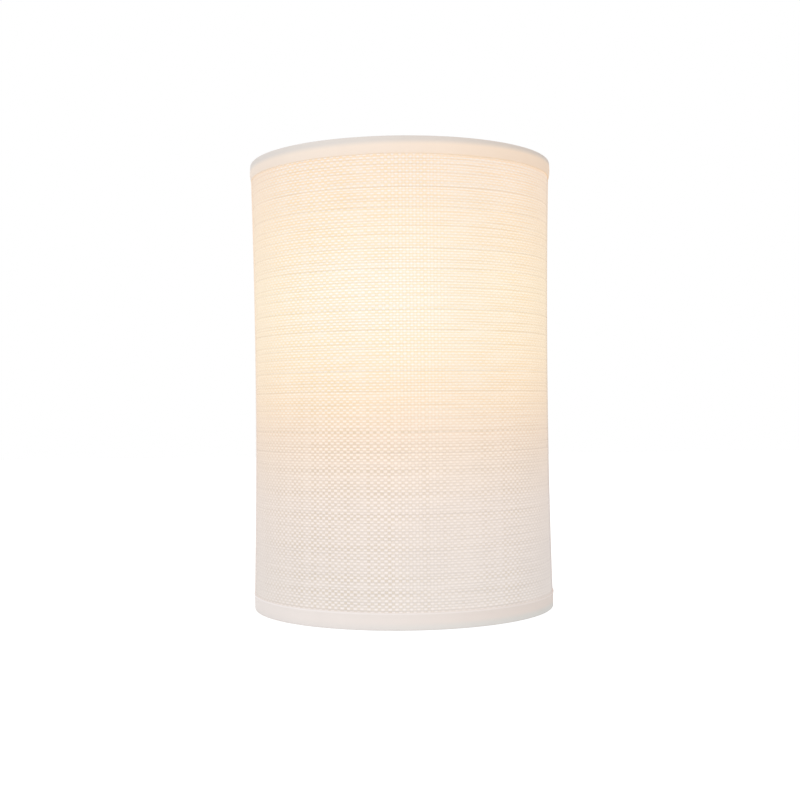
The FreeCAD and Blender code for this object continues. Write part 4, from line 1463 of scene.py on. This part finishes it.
    def tape_section(self, outer: float, swell: float,
                     fold: float) -> tuple[np.ndarray, np.ndarray]:
        """Outer and inner line of the tape folded over the top rim, as radius and height.

        Args:
            outer: Radius of the outer leg at the rim.
            swell: How far the outer leg stands proud half way down.
            fold: How far its lower edge does.

        Returns:
            The tape's visible side and the side against the frame, point for point.
        """
        rim = self.rim
        foot = self.backing_inside - self.tape_room
        wrap = self.ring_radius - self.wire_radius - self.tape_room
        under = self.ring_height - self.wire_radius - self.tape_room
        low = rim - self.tape_height
        end = rim - self.tape_turn_in
        path = rounded_path([
            (self.radius + fold, low),
            (self.radius + fold + self.lip_out, low + self.lip_up),
            (outer + swell * self.swell_low_share, low + self.swell_low),
            (outer + swell, low + self.swell_middle),
            (outer + swell * self.swell_high_share, rim - self.swell_high),
            (outer, rim),
            (self.ring_radius, rim),
            (wrap, rim),
            (wrap, under),
            (foot, under - self.tape_room),
            (foot, end + self.foot_up),
            (foot - self.foot_in, end),
        ], self.tape_step)
        thin = np.clip(self.lip_thin + distances(path) / self.lip_run, self.lip_thin, 1.0)
        return path, path + leftward(path) * self.tape_thickness * thin[:, None]

    def build_rim_tape(self, rim: Rim, outer_radius: float, swell: float,
                       fold: float) -> bpy.types.Object:
        """Tape folded over one rim.

        Args:
            rim: Which rim.
            outer_radius: Radius of its outer leg at the rim.
            swell: How far its outer leg stands proud.
            fold: How far its free edge does.

        Returns:
            The tape.
        """
        flip = rim.value
        seen, hidden = self.tape_section(outer_radius, swell, fold)
        turn = np.linspace(0.0, math.pi, self.tape_columns)[None, :]
        around = turn * outer_radius
        weight = np.linspace(1.0, 0.0, len(seen))[:, None] ** 2
        wander = self.tape_wander.at(around, flip) * self.tape_uneven * weight
        puff = self.tape_puff.at(around, flip) * self.tape_puffed * weight
        sides = []
        for line in (seen, hidden):
            free = line[:, 1:] < self.rim - self.tape_even
            height = (line[:, 1:] + wander * free) * flip
            sides.append(self.grid(line[:, :1] + puff, height, turn))
        name = "top_binding" if flip > 0 else "bottom_binding"
        mesh = shell_mesh(name, *sides, turned=flip > 0)
        obj = settle(name, mesh, TAPE, Body.SHADE)
        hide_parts("top_tape" if flip > 0 else "bottom_tape")
        return obj

    def build_edge_tape(self, edge: RearEdge) -> bpy.types.Object:
        """Tape folded round one upright rear edge.

        Args:
            edge: Which edge.

        Returns:
            The tape.
        """
        side = edge.value
        half = (self.radius + self.backing_inside) / 2
        leg = self.edge_tape / self.radius * half
        over = self.tape_room / self.radius * half
        skin = self.radius + self.tape_room
        lining = self.backing_inside - self.tape_room
        path = rounded_path([
            (leg, skin - self.edge_lift),
            (leg * self.edge_flat, skin),
            (-over, skin),
            (-over, lining),
            (leg * self.edge_flat, lining),
            (leg, lining + self.edge_lift),
        ], self.edge_step)
        reach = self.rim - self.tape_height + self.edge_lap
        height = np.linspace(-reach, reach, self.edge_rows)[None, :]
        wander = self.edge_wander.at(height, side) * self.edge_uneven
        sides = []
        for line in (path, path + leftward(path) * self.tape_thickness):
            turn = (line[:, :1] + wander) / half
            turn = turn if side < 0 else math.pi - turn
            sides.append(self.grid(self.drawn_in(line[:, 1:], height), height, turn))
        name = "left_edge_binding" if side < 0 else "right_edge_binding"
        mesh = shell_mesh(name, *sides, turned=side > 0)
        obj = settle(name, mesh, TAPE, Body.SHADE)
        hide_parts("left_edge_tape" if side < 0 else "right_edge_tape")
        return obj

    def build_frame_welds(self) -> bpy.types.Object:
        """Weld beads where the stiles meet the rings and the crossbars meet the stiles.

        Returns:
            The beads.
        """
        low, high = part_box("frame_stiles")
        y = (low.y + high.y) / 2
        joint = self.ring_height - self.wire_radius
        places = []
        for x in (low.x + self.wire_radius, high.x - self.wire_radius):
            inner = x - math.copysign(self.wire_radius, x)
            for flip in (-1, 1):
                places.append((Vector((x, y, flip * joint)), Vector(self.ring_bead)))
                places.append((Vector((inner, y, flip * self.crossbar_height)),
                               Vector(self.crossbar_bead)))
        mesh = beads_mesh("frame_welds", places)
        obj = settle("frame_welds", mesh, WIRE_COATING, Body.SHADE)
        return obj

    def build(self, nodes: Mapping[str, bpy.types.Object]) -> None:
        """Builds and dresses the shade.

        Args:
            nodes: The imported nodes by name.
        """
        self.build_panel()
        self.build_rim_tape(Rim.TOP, self.top_tape_radius, self.top_tape_swell, self.top_fold)
        self.build_rim_tape(Rim.BOTTOM, self.bottom_tape_radius, self.bottom_tape_swell,
                            self.bottom_fold)
        for edge in RearEdge:
            self.build_edge_tape(edge)
        self.build_frame_welds()
        dress_nodes(nodes, self.finishes)


# ------------------------------------------------------------------ wall unit, holder and lamp

@dataclass
class WallUnit:
    """Strap, tray, hooks, terminal block and wiring."""

    hook_spacing: float = 76.0 * MM
    hook_width: float = 12.0 * MM
    hook_leg: float = 13.0 * MM
    crossbar_height: float = 82.0 * MM
    tray_face: float = -18.0 * MM
    bead_out: float = 0.4 * MM
    bead_half_depth: float = 1.0 * MM
    bead_half_height: float = 0.9 * MM
    finishes: ClassVar[dict[str, Finish]] = {
        "wall_strap": ZINC, "strap_studs": ZINC, "back_tray": ENAMEL, "cap_nuts": NICKEL,
        "shade_hooks": ENAMEL, "terminal_block": POLYAMIDE, "terminal_tubes": BRASS,
        "terminal_screws": ZINC, "terminal_fixing_screws": ZINC, "earth_screw": ZINC,
        "earth_washer": ZINC, "earth_tag": BRASS, "earth_lead": GREEN_YELLOW,
        "live_lead": BROWN, "neutral_lead": BLUE, "lead_sleeving": BRAID, "flex_grommet": RUBBER,
    }

    def build_hook_welds(self) -> bpy.types.Object:
        """Weld beads along the upper ends of the hooks' legs.

        Returns:
            The beads.
        """
        half = Vector((self.hook_width / 2, self.bead_half_depth, self.bead_half_height))
        y = self.tray_face - self.bead_out
        places = [
            (Vector((side * self.hook_spacing / 2, y,
                     flip * self.crossbar_height + self.hook_leg)), half)
            for side in (-1, 1) for flip in (-1, 1)]
        obj = settle("hook_welds", beads_mesh("hook_welds", places), ENAMEL, Body.WALL_UNIT)
        return obj

    def build(self, nodes: Mapping[str, bpy.types.Object]) -> None:
        """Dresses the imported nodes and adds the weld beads."""
        dress_nodes(nodes, self.finishes)
        self.build_hook_welds()


@dataclass
class LampHolder:
    """Arm, nipple and screw lampholder."""

    finishes: ClassVar[dict[str, Finish]] = {
        "lamp_arm": ENAMEL, "arm_screws": ZINC, "arm_nuts": ZINC,
        "threaded_nipple": NIPPLE_THREAD, "nipple_washer": ZINC, "nipple_nut": ZINC,
        "holder_cap": THERMOSET, "holder_skirt": THERMOSET, "holder_core": STEATITE,
        "holder_screws": BRASS, "thread_sleeve": BRASS, "centre_contact": BRASS,
    }

    def build(self, nodes: Mapping[str, bpy.types.Object]) -> None:
        """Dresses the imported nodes."""
        dress_nodes(nodes, self.finishes)


@dataclass
class Lamp:
    """Golf-ball lamp with a screw cap."""

    finishes: ClassVar[dict[str, Finish]] = {
        "bulb_contact_pin": ZINC, "bulb_insulator": BLACK_GLASS, "bulb_cap_shell": CAP_METAL,
        "bulb_housing": LAMP_WHITE, "bulb_dome": DOME, "led_board": BOARD_WHITE,
        "led_chips": CHIP, "driver_board": BOARD_GREEN,
    }

    def build(self, nodes: Mapping[str, bpy.types.Object]) -> None:
        """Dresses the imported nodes."""
        dress_nodes(nodes, self.finishes)


# ------------------------------------------------------------------ studio

@dataclass(frozen=True)
class SoftLight:
    """Soft square light that points at the object, with its side in metres and its watts."""

    name: str
    place: tuple[float, float, float]
    size: float
    power: float

    def build(self) -> None:
        """Adds the light to the scene."""
        data = bpy.data.lights.new(self.name, "AREA")
        data.size = self.size
        data.energy = self.power
        light = bpy.data.objects.new(self.name, data)
        light.location = self.place
        light.rotation_mode = "QUATERNION"
        light.rotation_quaternion = (-Vector(self.place)).to_track_quat("-Z", "Y")
        bpy.context.scene.collection.objects.link(light)


@dataclass
class Studio:
    """Camera, soft lights, pale floor and white surroundings. Angles are in degrees."""

    camera_at: tuple[float, float, float] = (-0.0435, -0.8019, -0.0141)
    yaw: float = 3.03
    pitch: float = 0.36
    roll: float = -0.60
    lens: float = 56.16
    sensor: float = 36.0
    floor_height: float = -1.2
    floor_half: float = 30.0
    floor_grey: float = 0.80
    floor_roughness: float = 0.9
    floor_seen: float = 0.70
    ambient: float = 0.55
    lights: ClassVar[tuple[SoftLight, ...]] = (
        SoftLight("key", (-0.75, -2.25, 0.8), 1.5, 24.0),
        SoftLight("fill", (1.9, -1.3, 0.2), 1.8, 4.4),
        SoftLight("behind", (-0.3, 2.0, 1.2), 1.6, 8.0),
    )
    looks: ClassVar[tuple[str, ...]] = ("Is Camera Ray", "Is Glossy Ray", "Is Transmission Ray")

    def build_camera(self) -> None:
        """Camera at the photograph's place and angle."""
        yaw, pitch, roll = (math.radians(a) for a in (self.yaw, self.pitch, self.roll))
        ahead = Vector((math.sin(yaw) * math.cos(pitch), math.cos(yaw) * math.cos(pitch),
                        math.sin(pitch)))
        right = Vector((math.cos(yaw), -math.sin(yaw), 0.0))
        up = right.cross(ahead)
        level = Matrix((right, up, -ahead)).transposed()
        data = bpy.data.cameras.new("camera")
        data.lens = self.lens
        data.sensor_width = self.sensor
        camera = bpy.data.objects.new("camera", data)
        camera.matrix_world = (Matrix.Translation(self.camera_at)
                               @ (level @ Matrix.Rotation(roll, 3, "Z")).to_4x4())
        bpy.context.scene.collection.objects.link(camera)
        bpy.context.scene.camera = camera

    def watched(self, paint: Paint) -> Sock:
        """1 for rays that look at a thing, and 0 for those that light with it."""
        first, *others = (paint.node("ShaderNodeLightPath", output=look) for look in self.looks)
        return first.at_least(others[0]).at_least(others[1])

    def build_floor(self) -> None:
        """Wide pale floor that keeps the object's shadow."""
        form = bmesh.new()
        bmesh.ops.create_grid(form, x_segments=1, y_segments=1, size=self.floor_half)
        mesh = bpy.data.meshes.new("floor")
        form.to_mesh(mesh)
        form.free()
        floor = bpy.data.objects.new("floor", mesh)
        floor.location = (0.0, 0.0, self.floor_height)
        bpy.context.scene.collection.objects.link(floor)
        material = bpy.data.materials.new("pale_floor")
        paint = Paint(material)
        seen = paint.mix(self.watched(paint), BLACK, dimmed(WHITE, self.floor_seen))
        paint.set(Base_Color=dimmed(WHITE, self.floor_grey), Roughness=self.floor_roughness,
                  Emission_Color=seen, Emission_Strength=1.0)
        mesh.materials.append(material)

    def build_surroundings(self) -> None:
        """White surroundings: pure white where seen, softer as a light."""
        world = bpy.data.worlds.new("surroundings")
        bpy.context.scene.world = world
        paint = Paint(world, Ground.SURROUNDINGS)
        paint.set(Color=WHITE,
                  Strength=self.watched(paint).spread(Span(0.0, 1.0, self.ambient, 1.0)))

    def build(self) -> None:
        """Builds the studio."""
        self.build_camera()
        for light in self.lights:
            light.build()
        self.build_floor()
        self.build_surroundings()
        bpy.context.scene.view_settings.view_transform = "Standard"


def main() -> None:
    """Builds everything in order."""
    logging.basicConfig(level=logging.INFO, format="%(name)s: %(message)s")
    for obj in list(bpy.data.objects):
        bpy.data.objects.remove(obj)
    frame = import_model()
    Studio().build()
    nodes = frame["nodes"]
    Shade().build(nodes)
    WallUnit().build(nodes)
    LampHolder().build(nodes)
    Lamp().build(nodes)
    bpy.context.view_layer.update()


if __name__ == "__main__":
    main()
